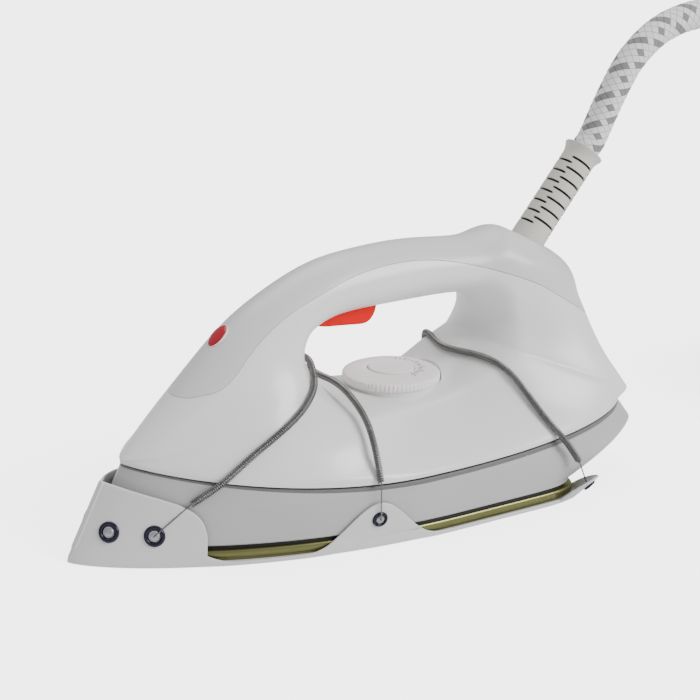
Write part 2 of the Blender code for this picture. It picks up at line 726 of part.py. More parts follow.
def rear_tab_point(side):
    """The eyelet's place on a rear tab and the direction it faces."""
    turn = math.radians(REAR_TAB_TURN)
    rise = math.radians(REAR_TAB_RISE)
    line = plan_outline(*sole_plan(), count=400)
    tab = rear_tab_share(line)
    corner = line[int(np.argmax(np.where(line[:, 1] > 0, tab, 0)))]
    flat = Vector((math.cos(turn), side * math.sin(turn), 0))
    reach = 0.62 * REAR_TAB_HEIGHT
    place = Vector((corner[0], side * corner[1], reach + 0.5 * SHOE_WALL))
    place += flat * (reach / math.tan(rise))
    out = flat * math.sin(rise) - Vector((0, 0, math.cos(rise)))
    return place, out


def eyelet(name, place, out, radius, mat):
    """A flanged ring on the outside of the shoe's wall."""
    hole = 0.42 * radius
    profile = [(hole, GAP), (radius, GAP), (radius - 0.5 * MM, GAP + EYELET_THICKNESS),
               (hole, GAP + EYELET_THICKNESS)]
    turn = Vector((0, 0, 1)).rotation_difference(out)
    rings = []
    for r, height in profile:
        rings.append([turn @ Vector((r * math.cos(a), r * math.sin(a), height)) + place
                      for a in (2 * math.pi * k / 16 for k in range(16))])
    return lofted(name, rings, mat, closed=True)


def eyelet_places():
    places = []
    for side, word in ((-1, "near"), (1, "far")):
        for number, (x, z) in enumerate(FRONT_EYELETS):
            places.append(("front_eyelet_%d_%s" % (number + 1, word), *shoe_wall_point(x, z, side),
                           FRONT_EYELET_RADIUS))
        places.append(("mid_eyelet_" + word, *shoe_wall_point(MID_TAB_X, MID_EYELET_Z, side),
                       MID_EYELET_RADIUS))
        place, out = rear_tab_point(side)
        places.append(("rear_eyelet_" + word, place, out, REAR_EYELET_RADIUS))
    return places


# Routes of the three springs from the middle of the body to the coil's lower end, on the -Y side.
SPRING_ROUTES = {
    "front_spring": [(-28.5, 0, 77), (-30.5, -8, 78), (-32.5, -14, 77), (-35, -20, 73.7), (-38.5, -25, 70),
                     (-45, -29.5, 65.5), (-53, -33, 60.3), (-64, -36, 54.5), (-78, -36.5, 47), (-92, -35, 38),
                     (-105, -30.2, 28.5)],
    "mid_spring": [(-20, 0, 66), (-20, -11, 66.5), (-20.5, -21, 65.8), (-21.5, -31.5, 63.6),
                   (-22.3, -41, 59.8), (-23.3, -49, 54.5), (-25, -57.5, 44.5), (-26.2, -63.2, 33.5)],
    "rear_spring": [(54, 0, 70), (55.5, -9.5, 69.7), (60.5, -19, 66), (65.5, -28.5, 61.8), (69.5, -37.5, 57.5),
                    (71.5, -45, 52), (74, -55, 43), (77.5, -63.5, 36), (82.5, -65.2, 29), (87, -66, 22)],
}
SPRING_EYELETS = {"front_spring": "front_eyelet_2_", "mid_spring": "mid_eyelet_",
                  "rear_spring": "rear_eyelet_"}


def pushed_out(point, clearance, skirt):
    """The point, moved out until it keeps the clearance to the shell, or to the skirt below the seam."""
    for _ in range(4):
        tree = SKIN if point.z > float(seam_height(point.x)) else skirt
        near, normal, _, distance = tree.find_nearest(point)
        if (point - near).dot(normal) < 0:
            point = near + normal * clearance
        elif distance < clearance:
            point = near + (point - near).normalized() * clearance
    return point


def make_spring(name, places, skirt):
    """A close-wound spring over the body, with a thin wire from each end to its eyelet."""
    route = [Vector(p) * MM for p in SPRING_ROUTES[name]]
    clearance = SPRING_RADIUS + 2.5 * GAP
    half = [pushed_out(p, clearance, skirt) for p in route]
    both = [Vector((p.x, -p.y, p.z)) for p in half[:0:-1]] + half
    centre = [pushed_out(Vector(p), clearance, skirt) for p in smooth_route(both, 5.0 * MM)]
    rings_at = [(p, SPRING_RADIUS) for p in centre]
    ends = []
    for side in (1, -1):
        key = SPRING_EYELETS[name] + ("near" if side < 0 else "far")
        place, out, _ = places[key]
        reach = GAP + EYELET_THICKNESS + WIRE_RADIUS + 1.2 * GAP
        if name == "rear_spring":
            reach = -(SHOE_WALL + WIRE_RADIUS + 2 * GAP)
        foot = place + out * reach
        last = centre[0] if side > 0 else centre[-1]
        gap = foot - last
        wire = [(last + gap * t, WIRE_RADIUS) for t in (1.6 * MM / gap.length, 0.35, 0.7, 1.0)]
        ends.append([(pushed_out(p, WIRE_RADIUS + 2 * GAP, skirt), r) for p, r in wire])
    stations = ends[0][::-1] + rings_at + ends[1]
    rings = []
    side_ref = Vector((1, 0, 0))
    for k, (p, radius) in enumerate(stations):
        before = stations[max(k - 1, 0)][0]
        after = stations[min(k + 1, len(stations) - 1)][0]
        along = (after - before).normalized()
        side_ref = (side_ref - along * side_ref.dot(along)).normalized()
        other = along.cross(side_ref)
        rings.append([p + side_ref * radius * math.cos(a) + other * radius * math.sin(a)
                      for a in (2 * math.pi * j / 8 for j in range(8))])
    return lofted(name, rings, material("spring_steel", (0.45, 0.45, 0.46), 0.35, 1.0))


def make_holding_springs(skirt):
    black = material("eyelet_black", (0.06, 0.06, 0.08), 0.3, 0.8)
    places = {}
    for name, place, out, radius in eyelet_places():
        eyelet(name, place, out, radius, black)
        places[name] = (place, out, radius)
    sheet = bmesh.new()
    sheet.from_mesh(skirt.data)
    tree = BVHTree.FromBMesh(sheet)
    sheet.free()
    for name in SPRING_ROUTES:
        make_spring(name, places, tree)


# ---- soleplate and steam chamber ----------------------------------------------------------------
def make_soleplate():
    low = SHOE_WALL + GAP
    bevel = 0.9 * MM
    rings = []
    for z, draw in ((low, bevel), (low + bevel, 0.0), (SOLE_TOP - bevel, 0.0), (SOLE_TOP, bevel)):
        tip, rear, half, widest, power = sole_plan(SOLE_INSET + draw, 7 * MM)
        rings.append(ring_at((tip, rear, half, widest, power), z))
    return lofted("soleplate", rings, material("bronze_anodised", (0.3, 0.3, 0.14), 0.35, 0.9))


def make_gasket():
    outer = (NOSE + 12 * MM, NOSE + SOLE_LENGTH - 11 * MM, SOLE_HALF - 4.2 * MM, 20 * MM, 9.0)
    inner = (outer[0] + 7 * MM, outer[1] - 6 * MM, outer[2] - 6 * MM, 20 * MM, 9.0)
    return frame_ring("sole_gasket", outer, inner, SOLE_TOP + GAP, SOLE_TOP + GAP + GASKET_THICKNESS,
                      dark_plastic(), 48)


def chamber_plan(inset=0.0):
    return (NOSE + 37 * MM + inset, 70 * MM - inset, CHAMBER_HALF - inset, 20 * MM, 6.0)


def make_chamber():
    z = SOLE_TOP + GAP
    chamber = lofted("steam_chamber", [ring_at(chamber_plan(), z, 48),
                                       ring_at(chamber_plan(1 * MM), z + CHAMBER_HEIGHT, 48)], casting())
    z += CHAMBER_HEIGHT + GAP
    lid = lofted("chamber_lid", [ring_at(chamber_plan(3 * MM), z, 48),
                                 ring_at(chamber_plan(3 * MM), z + LID_THICKNESS, 48)], steel())
    return chamber, lid, z + LID_THICKNESS


def make_heating_element():
    """A U of tubular heater laid on the soleplate round the steam chamber."""
    plan = (NOSE + 28 * MM, 110 * MM, CHAMBER_HALF + 6.5 * MM, 20 * MM, 8.0)
    side = []
    for x in (64, 45, 20, -10, -40, -65, -88, -104, -114, -119.5):
        side.append((x * MM, float(plan_width(x * MM, *plan))))
    path = side + [(plan[0] + 0.6 * MM, 0.0)] + [(x, -y) for x, y in side[::-1]]
    z = SOLE_TOP + GAP + ELEMENT_RADIUS
    route = smooth_route([(x, y, z) for x, y in path], 12 * MM)
    return tube("heating_element", route, ELEMENT_RADIUS, steel(), 1)


def make_heat_shield():
    plan = (NOSE + 35 * MM, 108 * MM, BODY_HALF - 9 * MM, 10 * MM, 4.0)
    shield = lofted("heat_shield", [ring_at(plan, SHIELD_Z, 48),
                                    ring_at(plan, SHIELD_Z + SHIELD_THICKNESS, 48)], steel())
    hole = rod("cut_shield_thermostat", (DIAL_X, 0, SHIELD_Z - 5 * MM), (DIAL_X, 0, SHIELD_Z + 5 * MM),
               THERMOSTAT_RADIUS + 1 * MM, dark_plastic(), 24)
    cut(shield, as_cutter(hole))
    hole = rod("cut_shield_pipe", (STEAM_INLET_X, 0, SHIELD_Z - 5 * MM),
               (STEAM_INLET_X, 0, SHIELD_Z + 5 * MM), PIPE_RADIUS + 2 * MM, dark_plastic(), 16)
    cut(shield, as_cutter(hole))
    return shield


STEAM_INLET_X = 58.0 * MM
PIPE_RADIUS = 2.5 * MM


def make_thermostat(lid_top):
    z = lid_top + GAP
    low = turned("thermostat", [(THERMOSTAT_RADIUS, 0), (THERMOSTAT_RADIUS, THERMOSTAT_HEIGHT - 2 * MM),
                                (THERMOSTAT_RADIUS - 4 * MM, THERMOSTAT_HEIGHT)],
                 (DIAL_X, 0, z), material("ceramic", (0.8, 0.77, 0.7), 0.6))
    return low, z + THERMOSTAT_HEIGHT


def make_internals(lid_top):
    z = lid_top + GAP
    rod("thermal_fuse", (-30 * MM, -9 * MM, z + 2.6 * MM), (-30 * MM, 9 * MM, z + 2.6 * MM), 2.5 * MM,
        steel(), 12)
    block("fuse_clip", (-33.2 * MM, -3 * MM, z + 5.4 * MM), (-26.8 * MM, 3 * MM, z + 6.4 * MM), steel())
    out = relief_direction()
    top = Vector((RELIEF_X, 0, RELIEF_Z)) - out * (18.5 * MM + 4 * GAP)
    route = smooth_route([top, top - out * 6 * MM, (87 * MM, 0, 80 * MM), (82 * MM, 0, 62 * MM),
                          (72 * MM, 0, 45 * MM), (STEAM_INLET_X + 3 * MM, 0, 33 * MM),
                          (STEAM_INLET_X, 0, z + 6 * MM), (STEAM_INLET_X, 0, z)], 9 * MM)
    tube("steam_pipe", route, PIPE_RADIUS, material("silicone", (0.75, 0.3, 0.2), 0.5))
    block("terminal_block", (106 * MM, -14 * MM, 44 * MM), (120 * MM, 14 * MM, 55 * MM),
          material("terminal_ivory", (0.8, 0.78, 0.7), 0.5))
    for number, (x, y) in enumerate(((-72, -22), (-72, 22), (45, -30), (45, 30))):
        rod("lid_screw_%d" % (number + 1), (x * MM, y * MM, z), (x * MM, y * MM, z + 2.4 * MM), 3 * MM,
            steel(), 12)
    rod("neon_lamp", (-64 * MM, 0, 82 * MM), (-54 * MM, 0, 92 * MM), 2.5 * MM,
        material("lamp_glass", (0.9, 0.5, 0.4), 0.2), 12)


# ---- dial ---------------------------------------------------------------------------------------
def make_dial(thermostat_top):
    """The knurled knob, its cap and the spindle that turns with them."""
    white = material("dial_white", (0.84, 0.81, 0.8), 0.35)
    profile = [(DIAL_RADIUS - 0.8 * MM, 0.0), (DIAL_RADIUS, 0.5 * MM), (DIAL_RADIUS, 4.2 * MM),
               (DIAL_RADIUS - 1.4 * MM, 5.0 * MM), (CAP_RADIUS + 1.2 * MM, DIAL_HEIGHT),
               (CAP_RADIUS + GAP, DIAL_HEIGHT), (CAP_RADIUS + GAP, DIAL_HEIGHT - 1.6 * MM)]
    turned("dial_knob", profile, (DIAL_X, 0, DIAL_Z), white, DIAL_SIDES)
    turned("dial_cap", [(CAP_RADIUS, 0), (CAP_RADIUS, 1.6 * MM), (CAP_RADIUS - 1.2 * MM, 2.2 * MM)],
           (DIAL_X, 0, DIAL_Z + DIAL_HEIGHT - 1.6 * MM + GAP), white, 40)
    rod("dial_spindle", (DIAL_X, 0, thermostat_top + GAP), (DIAL_X, 0, DIAL_Z - GAP), SPINDLE_RADIUS,
        steel())


# ---- trigger --------------------------------------------------------------------------------------
TRIGGER_OUTLINE = [(-23.2, 93.4), (-19, 92.6), (-12, 92.0), (-4, 91.1), (0.2, 90.6), (3.4, 91.2), (6.0, 93.2),
                   (7.6, 95.8), (8.0, 98.6), (6.0, 101.0), (-8.0, 101.0), (-17.0, 101.2), (-20.6, 99.6),
                   (-21.8, 96.4)]


def make_trigger():
    """A curved lever on a pin at its front end, with the switch and spring above its rear end."""
    outline = [(x * MM, z * MM) for x, z in TRIGGER_OUTLINE]
    trigger = prism("trigger", outline, -TRIGGER_HALF, TRIGGER_HALF, red_plastic(), "Y")
    hole = rod("cut_pin_hole", (PIVOT_X, -12 * MM, PIVOT_Z), (PIVOT_X, 12 * MM, PIVOT_Z),
               PIN_RADIUS + GAP, dark_plastic(), 16)
    cut(trigger, as_cutter(hole))
    rod("trigger_pin", (PIVOT_X, -10 * MM, PIVOT_Z), (PIVOT_X, 10 * MM, PIVOT_Z), PIN_RADIUS, steel(), 12)
    black = dark_plastic()
    switch = block("micro_switch", (SWITCH_X - 10 * MM, -3.2 * MM, SWITCH_Z),
                   (SWITCH_X + 10 * MM, 3.2 * MM, SWITCH_Z + 9 * MM), black)
    bore = rod("cut_plunger_bore", (SWITCH_X, 0, SWITCH_Z - 2 * MM), (SWITCH_X, 0, SWITCH_Z + 6.5 * MM),
               PLUNGER_RADIUS + 2 * GAP, black, 12)
    cut(switch, as_cutter(bore))
    rod("switch_plunger", (SWITCH_X, 0, 101.0 * MM + GAP), (SWITCH_X, 0, SWITCH_Z + 1.5 * MM),
        PLUNGER_RADIUS, red_plastic(), 12)
    turns = 5
    centre_x = -8.0 * MM
    low = 101.0 * MM + GAP + 0.4 * MM
    high = SWITCH_Z + 3.0 * MM
    helix = []
    for k in range(turns * 6 + 1):
        share = k / (turns * 6)
        angle = 2 * math.pi * turns * share
        helix.append((centre_x - 2.2 * MM + 2.2 * MM * math.cos(angle), 2.2 * MM * math.sin(angle),
                      low + (high - low) * share))
    tube("trigger_spring", helix, 0.35 * MM, steel(), 0)


# ---- strain relief, clamp and hose ---------------------------------------------------------------
def make_relief():
    """A slotted sleeve with a collar at its foot and a flared lip at its mouth."""
    profile = [(RELIEF_RADIUS, -13 * MM), (RELIEF_RADIUS + 2.2 * MM, -13 * MM),
               (RELIEF_RADIUS + 2.2 * MM, -10 * MM), (RELIEF_RADIUS, -10 * MM),
               (RELIEF_RADIUS, 2 * MM), (RELIEF_RADIUS - 0.4 * MM, RELIEF_LENGTH - 8 * MM),
               (RELIEF_RADIUS + 1.6 * MM, RELIEF_LENGTH), (HOSE_DIAMETER / 2 - 0.7 * MM, RELIEF_LENGTH)]
    centre = (RELIEF_X, 0, RELIEF_Z)
    inner = HOSE_DIAMETER / 2 - 1.9 * MM
    profile[0] = (inner, -13 * MM)
    profile[-1] = (inner, RELIEF_LENGTH)
    turn = Vector((0, 0, 1)).rotation_difference(relief_direction())
    rings = []
    for radius, height in profile:
        rings.append([turn @ Vector((radius * math.cos(a), radius * math.sin(a), height)) + Vector(centre)
                      for a in (2 * math.pi * k / 32 for k in range(32))])
    relief = lofted("strain_relief", rings, relief_beige(), closed=True)
    pitch = (RELIEF_LENGTH - 14 * MM) / RELIEF_ROWS
    for row in range(RELIEF_ROWS):
        for half in range(2):
            name = "cut_relief_slot_%d_%d" % (row, half)
            height = 8 * MM + pitch * row
            angle = math.pi * half + (math.pi / 2 if row % 2 else 0)
            out = turn @ Vector((math.cos(angle), math.sin(angle), 0))
            side = turn @ Vector((-math.sin(angle), math.cos(angle), 0))
            up = relief_direction()
            middle = Vector(centre) + up * height + out * (RELIEF_RADIUS + 3 * MM)
            corners = ((-1, -1), (1, -1), (1, 1), (-1, 1))
            rings = []
            for depth in (-1, 1):
                rings.append([middle + out * (depth * 5 * MM) + side * (a * 7 * MM) + up * (b * 0.8 * MM)
                              for a, b in corners])
            slot = lofted(name, rings, dark_plastic(), smooth=False)
            cut(relief, as_cutter(slot))


def make_clamp():
    """The saddle that grips the sleeve's foot inside the cover."""
    out = relief_direction()
    base = Vector((RELIEF_X, 0, RELIEF_Z)) - out * 18.5 * MM
    turned("hose_clamp", [(7.0 * MM, 0), (7.0 * MM, 5 * MM)], base, steel(), 24, out)


def hose_points():
    """Route of the hose from the sleeve's mouth over to the top of its coil, chosen by hand."""
    points = [(154, 0, 186), (166, 0, 202.5), (184, -1, 215.5), (207, -4, 221.5), (230, -8, 218.5),
              (250, -14, 207), (264, -21, 189), (272, -28, 166), (276, -35, 142), (279, -43, 118),
              (284, -52.5, 94), (294, -63, 73.5), (312.1, -74.1, 60.3)]
    return [(x * MM, y * MM, z * MM) for x, y, z in points]


def make_hose():
    braid = material("hose_braid", (0.7, 0.7, 0.71), 0.7)
    mouth = Vector((RELIEF_X, 0, RELIEF_Z)) + relief_direction() * RELIEF_LENGTH
    start = mouth + relief_direction() * GAP
    route = smooth_route([start, start + relief_direction() * 8 * MM] + hose_points(), 2.0 * HOSE_DIAMETER)
    route = [start, start + relief_direction() * 4 * MM] + list(route[1:])
    tube("hose_run", route, HOSE_DIAMETER / 2 - 0.2 * MM, braid, 2)
    outer = COIL_INNER + HOSE_DIAMETER
    top = HOSE_DIAMETER * (COIL_TURNS + 0.15)
    rings = []
    for radius, z in ((COIL_INNER, 0.2 * MM), (outer, 0.2 * MM), (outer, top), (COIL_INNER, top)):
        rings.append([(COIL_X + radius * math.cos(a), COIL_Y + radius * math.sin(a), z)
                      for a in (2 * math.pi * k / 48 for k in range(48))])
    lofted("hose_coil", rings, braid, closed=True)
    middle = outer - HOSE_DIAMETER / 2
    clear = math.sqrt((outer + HOSE_DIAMETER / 2 + GAP) ** 2 - middle ** 2)
    tail = Vector((COIL_X + middle, COIL_Y + clear, HOSE_DIAMETER / 2))
    along = Vector((0, 1, 0))
    tube("hose_tail", [tail + along * t * TAIL_LENGTH for t in (0, 0.5, 1)], HOSE_DIAMETER / 2 - 0.2 * MM,
         braid, 2)
    ferrule = HOSE_DIAMETER / 2 + 1.4 * MM
    foot = tail + along * (TAIL_LENGTH + GAP)
    foot.z = ferrule + 0.1 * MM
    turned("hose_ferrule", [(ferrule, 0), (ferrule, 20 * MM), (ferrule - 3 * MM, 22 * MM)], foot, brass(),
           24, along)
    foot = foot + along * (22 * MM + GAP)
    turned("hose_union_nut", [(10 * MM, 0), (10 * MM, 9 * MM), (6 * MM, 9 * MM), (6 * MM, 14 * MM)],
           foot + Vector((0, 0, 1.2 * MM)), brass(), 6, along)


def skin_tree():
    skin = shell_bmesh()
    skin.normal_update()
    return BVHTree.FromBMesh(skin)


SKIN = skin_tree()


def main():
    clear_scene()
    make_shell_and_cover()
    lens_body("indicator_lens", LENS_LONG, LENS_WIDE, -4 * MM, -0.2 * MM, 0.9 * MM)
    skirt = make_skirt()
    make_seam_trim()
    make_shoe()
    make_holding_springs(skirt)
    make_soleplate()
    make_gasket()
    _, _, lid_top = make_chamber()
    make_heating_element()
    make_heat_shield()
    _, thermostat_top = make_thermostat(lid_top)
    make_internals(lid_top)
    make_dial(thermostat_top)
    make_trigger()
    make_relief()
    make_clamp()
    make_hose()
    hang_on_axis("dial_axis", (DIAL_X, 0, DIAL_Z), ("dial_knob", "dial_cap", "dial_spindle"))
    hang_on_axis("trigger_axis", (PIVOT_X, 0, PIVOT_Z), ("trigger", "cut_pin_hole"))
    hang_on_axis("plunger_axis", (SWITCH_X, 0, SWITCH_Z), ("switch_plunger",))


main()
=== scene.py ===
from math import cos, pi, radians, sin, tan

import bmesh
import bpy
import numpy as np
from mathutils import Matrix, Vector
from mathutils.bvhtree import BVHTree


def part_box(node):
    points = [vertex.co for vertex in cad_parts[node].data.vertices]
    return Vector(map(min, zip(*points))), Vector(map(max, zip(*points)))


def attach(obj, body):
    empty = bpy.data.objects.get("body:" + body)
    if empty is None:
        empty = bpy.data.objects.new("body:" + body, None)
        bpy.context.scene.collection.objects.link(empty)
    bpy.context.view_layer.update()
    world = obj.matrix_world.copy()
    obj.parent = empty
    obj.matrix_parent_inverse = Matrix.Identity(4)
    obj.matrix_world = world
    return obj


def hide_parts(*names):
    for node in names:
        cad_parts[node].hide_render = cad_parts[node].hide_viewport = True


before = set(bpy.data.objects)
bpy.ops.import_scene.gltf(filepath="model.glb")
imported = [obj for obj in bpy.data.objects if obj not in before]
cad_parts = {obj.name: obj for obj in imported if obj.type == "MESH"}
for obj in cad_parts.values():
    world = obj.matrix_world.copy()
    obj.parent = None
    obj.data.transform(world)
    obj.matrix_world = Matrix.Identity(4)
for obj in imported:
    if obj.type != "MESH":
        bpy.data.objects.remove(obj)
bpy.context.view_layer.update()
mm = 0.001
hairGap = 0.3 * mm


# making meshes
def gridQuads(rows, cols, closeRows=False, closeCols=True):
    # quads over a grid of points stored row by row
    r = np.arange(rows if closeRows else rows - 1)[:, None]
    c = np.arange(cols if closeCols else cols - 1)[None, :]
    r2 = (r + 1) % rows
    c2 = (c + 1) % cols
    quads = np.stack([r * cols + c, r * cols + c2, r2 * cols + c2, r2 * cols + c], -1)
    return quads.reshape(-1, 4).tolist()


def addPiece(name, points, faces, finish=None, turnOut=True, angle=35):
    mesh = bpy.data.meshes.new(name)
    mesh.from_pydata(np.asarray(points, float).reshape(-1, 3).tolist(), [], faces)
    if turnOut:
        shaped = bmesh.new()
        shaped.from_mesh(mesh)
        bmesh.ops.remove_doubles(shaped, verts=shaped.verts, dist=1e-6)
        bmesh.ops.recalc_face_normals(shaped, faces=shaped.faces)
        shaped.to_mesh(mesh)
        shaped.free()
    mesh.shade_smooth()
    mesh.set_sharp_from_angle(angle=radians(angle))
    if finish:
        mesh.materials.append(finish)
    piece = bpy.data.objects.new(name, mesh)
    bpy.context.scene.collection.objects.link(piece)
    return piece


def loft(name, rings, finish=None, closed=False, capped=True, angle=35):
    # rings of equal point counts, shape (rings, points, 3): capped at both ends or joined to a torus
    rings = np.asarray(rings, float)
    rows, cols = rings.shape[:2]
    faces = gridQuads(rows, cols, closed)
    if capped and not closed:
        faces.append(list(range(cols)))
        faces.append(list(range((rows - 1) * cols, rows * cols)))
    return addPiece(name, rings, faces, finish, True, angle)


def axesFor(direction):
    # two unit vectors square to a direction
    out = np.array(direction, float) / np.linalg.norm(direction)
    helper = np.array((0.0, 1.0, 0.0)) if abs(out[1]) < 0.9 else np.array((1.0, 0.0, 0.0))
    side = np.cross(helper, out)
    side /= np.linalg.norm(side)
    return side, np.cross(out, side), out


def turnedRings(profile, place, direction=(0, 0, 1), sides=64):
    # a profile of (radius, height) turned about a direction through place
    side, other, out = axesFor(direction)
    profile = np.asarray(profile, float)
    turn = np.linspace(0, 2 * pi, sides, endpoint=False)
    spoke = np.cos(turn)[:, None] * side + np.sin(turn)[:, None] * other
    return (np.asarray(place, float) + profile[:, 0, None, None] * spoke[None]
            + profile[:, 1, None, None] * out)


def turned(name, profile, place, finish=None, direction=(0, 0, 1), sides=64, closed=False):
    return loft(name, turnedRings(profile, place, direction, sides), finish, closed)


def splineThrough(points, spacing):
    # a Catmull-Rom curve through the points, read off at an even spacing
    p = np.asarray(points, float)
    ends = np.vstack([2 * p[0] - p[1], p, 2 * p[-1] - p[-2]])
    t = np.linspace(0, 1, 40, endpoint=False)[None, :, None]
    a, b, c, d = (ends[k:len(p) - 1 + k, None] for k in range(4))
    dense = 0.5 * (2 * b + (c - a) * t + (2 * a - 5 * b + 4 * c - d) * t ** 2
                   + (3 * b - a - 3 * c + d) * t ** 3)
    dense = np.vstack([dense.reshape(-1, 3), p[-1]])
    run = np.concatenate([[0], np.cumsum(np.linalg.norm(np.diff(dense, axis=0), axis=1))])
    marks = np.linspace(0, run[-1], max(3, int(round(run[-1] / spacing)) + 1))
    return np.stack([np.interp(marks, run, dense[:, k]) for k in range(3)], 1)


def pathFrames(path):
    # unit tangents and two normals carried along a path without twisting
    tangent = np.gradient(path, axis=0)
    tangent /= np.linalg.norm(tangent, axis=1)[:, None]
    side = axesFor(tangent[0])[0]
    sides = []
    for t in tangent:
        side = side - t * side.dot(t)
        side = side / np.linalg.norm(side)
        sides.append(side)
    sides = np.array(sides)
    return tangent, sides, np.cross(tangent, sides)


def tubeRings(path, radius, sides=12):
    # circles of the given radius, square to the path
    tangent, side, other = pathFrames(path)
    turn = np.linspace(0, 2 * pi, sides, endpoint=False)
    radius = np.broadcast_to(radius, (len(path),))[:, None, None]
    return path[:, None] + radius * (np.cos(turn)[None, :, None] * side[:, None]
                                     + np.sin(turn)[None, :, None] * other[:, None])


def cutWith(piece, cutters, keep=False):
    # Boolean cuts, applied at once, and the cutters removed
    for cutter in cutters:
        step = piece.modifiers.new("cut", "BOOLEAN")
        step.operation = "INTERSECT" if keep else "DIFFERENCE"
        step.solver = "EXACT"
        step.object = cutter
    freeze(piece)
    for cutter in cutters:
        bpy.data.objects.remove(cutter)


def freeze(piece, angle=35):
    # put the modifiers' result into the mesh
    seen = piece.evaluated_get(bpy.context.evaluated_depsgraph_get())
    mesh = bpy.data.meshes.new_from_object(seen)
    piece.modifiers.clear()
    piece.data = mesh
    mesh.shade_smooth()
    mesh.set_sharp_from_angle(angle=radians(angle))


def seat(piece, carrier, slotName, *nodes):
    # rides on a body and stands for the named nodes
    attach(piece, carrier)
    if nodes:
        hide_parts(*nodes)
    return piece


# materials
def newFinish(name, colour, roughness, metallic=0.0, coat=0.0, spread=0.04, grain=900.0, bump=0.02,
              stretch=(1, 1, 1), mottle=25.0, sheen=0.0, specular=0.5, glow=0.0):
    # base colour and roughness wander with a broad noise; a fine noise gives the surface its grain
    made = bpy.data.materials.new(name)
    made.use_nodes = True
    nodes = made.node_tree.nodes
    links = made.node_tree.links
    shader = nodes["Principled BSDF"]
    for socket, value in (("Metallic", metallic), ("Coat Weight", coat), ("Coat Roughness", 0.12),
                          ("Sheen Weight", sheen), ("Specular IOR Level", specular)):
        shader.inputs[socket].default_value = value
    where = nodes.new("ShaderNodeTexCoord")
    turn = nodes.new("ShaderNodeMapping")
    turn.inputs["Scale"].default_value = stretch
    links.new(where.outputs["Object"], turn.inputs["Vector"])
    broad = nodes.new("ShaderNodeTexNoise")
    broad.inputs["Scale"].default_value = mottle
    broad.inputs["Detail"].default_value = 4
    links.new(where.outputs["Object"], broad.inputs["Vector"])
    tint = nodes.new("ShaderNodeValToRGB")
    for stop, at, share in zip(tint.color_ramp.elements, (0.3, 0.7), (1 - spread, 1 + spread)):
        stop.position = at
        stop.color = (*[min(1, c * share) for c in colour], 1)
    links.new(broad.outputs["Fac"], tint.inputs["Fac"])
    links.new(tint.outputs["Color"], shader.inputs["Base Color"])
    fine = nodes.new("ShaderNodeTexNoise")
    fine.inputs["Scale"].default_value = grain
    fine.inputs["Detail"].default_value = 3
    links.new(turn.outputs["Vector"], fine.inputs["Vector"])
    rough = nodes.new("ShaderNodeMapRange")
    rough.inputs["To Min"].default_value = roughness - 0.05
    rough.inputs["To Max"].default_value = roughness + 0.07
    links.new(fine.outputs["Fac"], rough.inputs["Value"])
    links.new(rough.outputs["Result"], shader.inputs["Roughness"])
    lift = nodes.new("ShaderNodeBump")
    lift.inputs["Strength"].default_value = bump
    lift.inputs["Distance"].default_value = 0.1 * mm
    links.new(fine.outputs["Fac"], lift.inputs["Height"])
    links.new(lift.outputs["Normal"], shader.inputs["Normal"])
    if glow:
        shader.inputs["Emission Color"].default_value = (*colour, 1)
        shader.inputs["Emission Strength"].default_value = glow
    return made


shellWhite = newFinish("shellWhite", (0.83, 0.83, 0.825), 0.3, spread=0.012, bump=0.05, coat=0.15)
coverGrey = newFinish("coverGrey", (0.67, 0.67, 0.67), 0.34, spread=0.012, bump=0.06, coat=0.1)
skirtGrey = newFinish("skirtGrey", (0.47, 0.47, 0.468), 0.36, spread=0.015, bump=0.06)
shoeWhite = newFinish("shoeWhite", (0.68, 0.68, 0.675), 0.42, spread=0.02, bump=0.05)
# near black: painted shadow on the strip under the shell's lip, and the micro switch's own black
lipShadowAndSwitchBlack = newFinish("lipShadowAndSwitchBlack", (0.02, 0.02, 0.021), 0.5, spread=0.1)
seamGrey = newFinish("seamGrey", (0.14, 0.14, 0.143), 0.45, spread=0.06)
# black: used for the sole gasket, and as painted shade on the core seen through the sleeve's slots
gasketAndSlotShadeBlack = newFinish("gasketAndSlotShadeBlack", (0.01, 0.01, 0.01), 0.7, spread=0.2, bump=0.2)
soleBronze = newFinish("soleBronze", (0.19, 0.19, 0.075), 0.3, metallic=0.85, spread=0.08,
                       stretch=(0.05, 1, 1), bump=0.1)
castAlloy = newFinish("castAlloy", (0.6, 0.6, 0.61), 0.5, metallic=0.9, spread=0.08, grain=400, bump=0.4)
brightSteel = newFinish("brightSteel", (0.6, 0.6, 0.62), 0.28, metallic=1.0, spread=0.05,
                        stretch=(1, 1, 0.05))
springSteel = newFinish("springSteel", (0.2, 0.198, 0.195), 0.3, metallic=1.0, spread=0.12, mottle=140)
eyeletNavy = newFinish("eyeletNavy", (0.012, 0.012, 0.03), 0.22, metallic=0.4, spread=0.2)
rivetGrey = newFinish("rivetGrey", (0.42, 0.42, 0.46), 0.35, metallic=0.8, spread=0.08, grain=1500)
triggerRed = newFinish("triggerRed", (0.72, 0.0, 0.0), 0.4, spread=0.03, specular=0.2)
lensRed = newFinish("lensRed", (0.42, 0.0, 0.015), 0.2, spread=0.06)
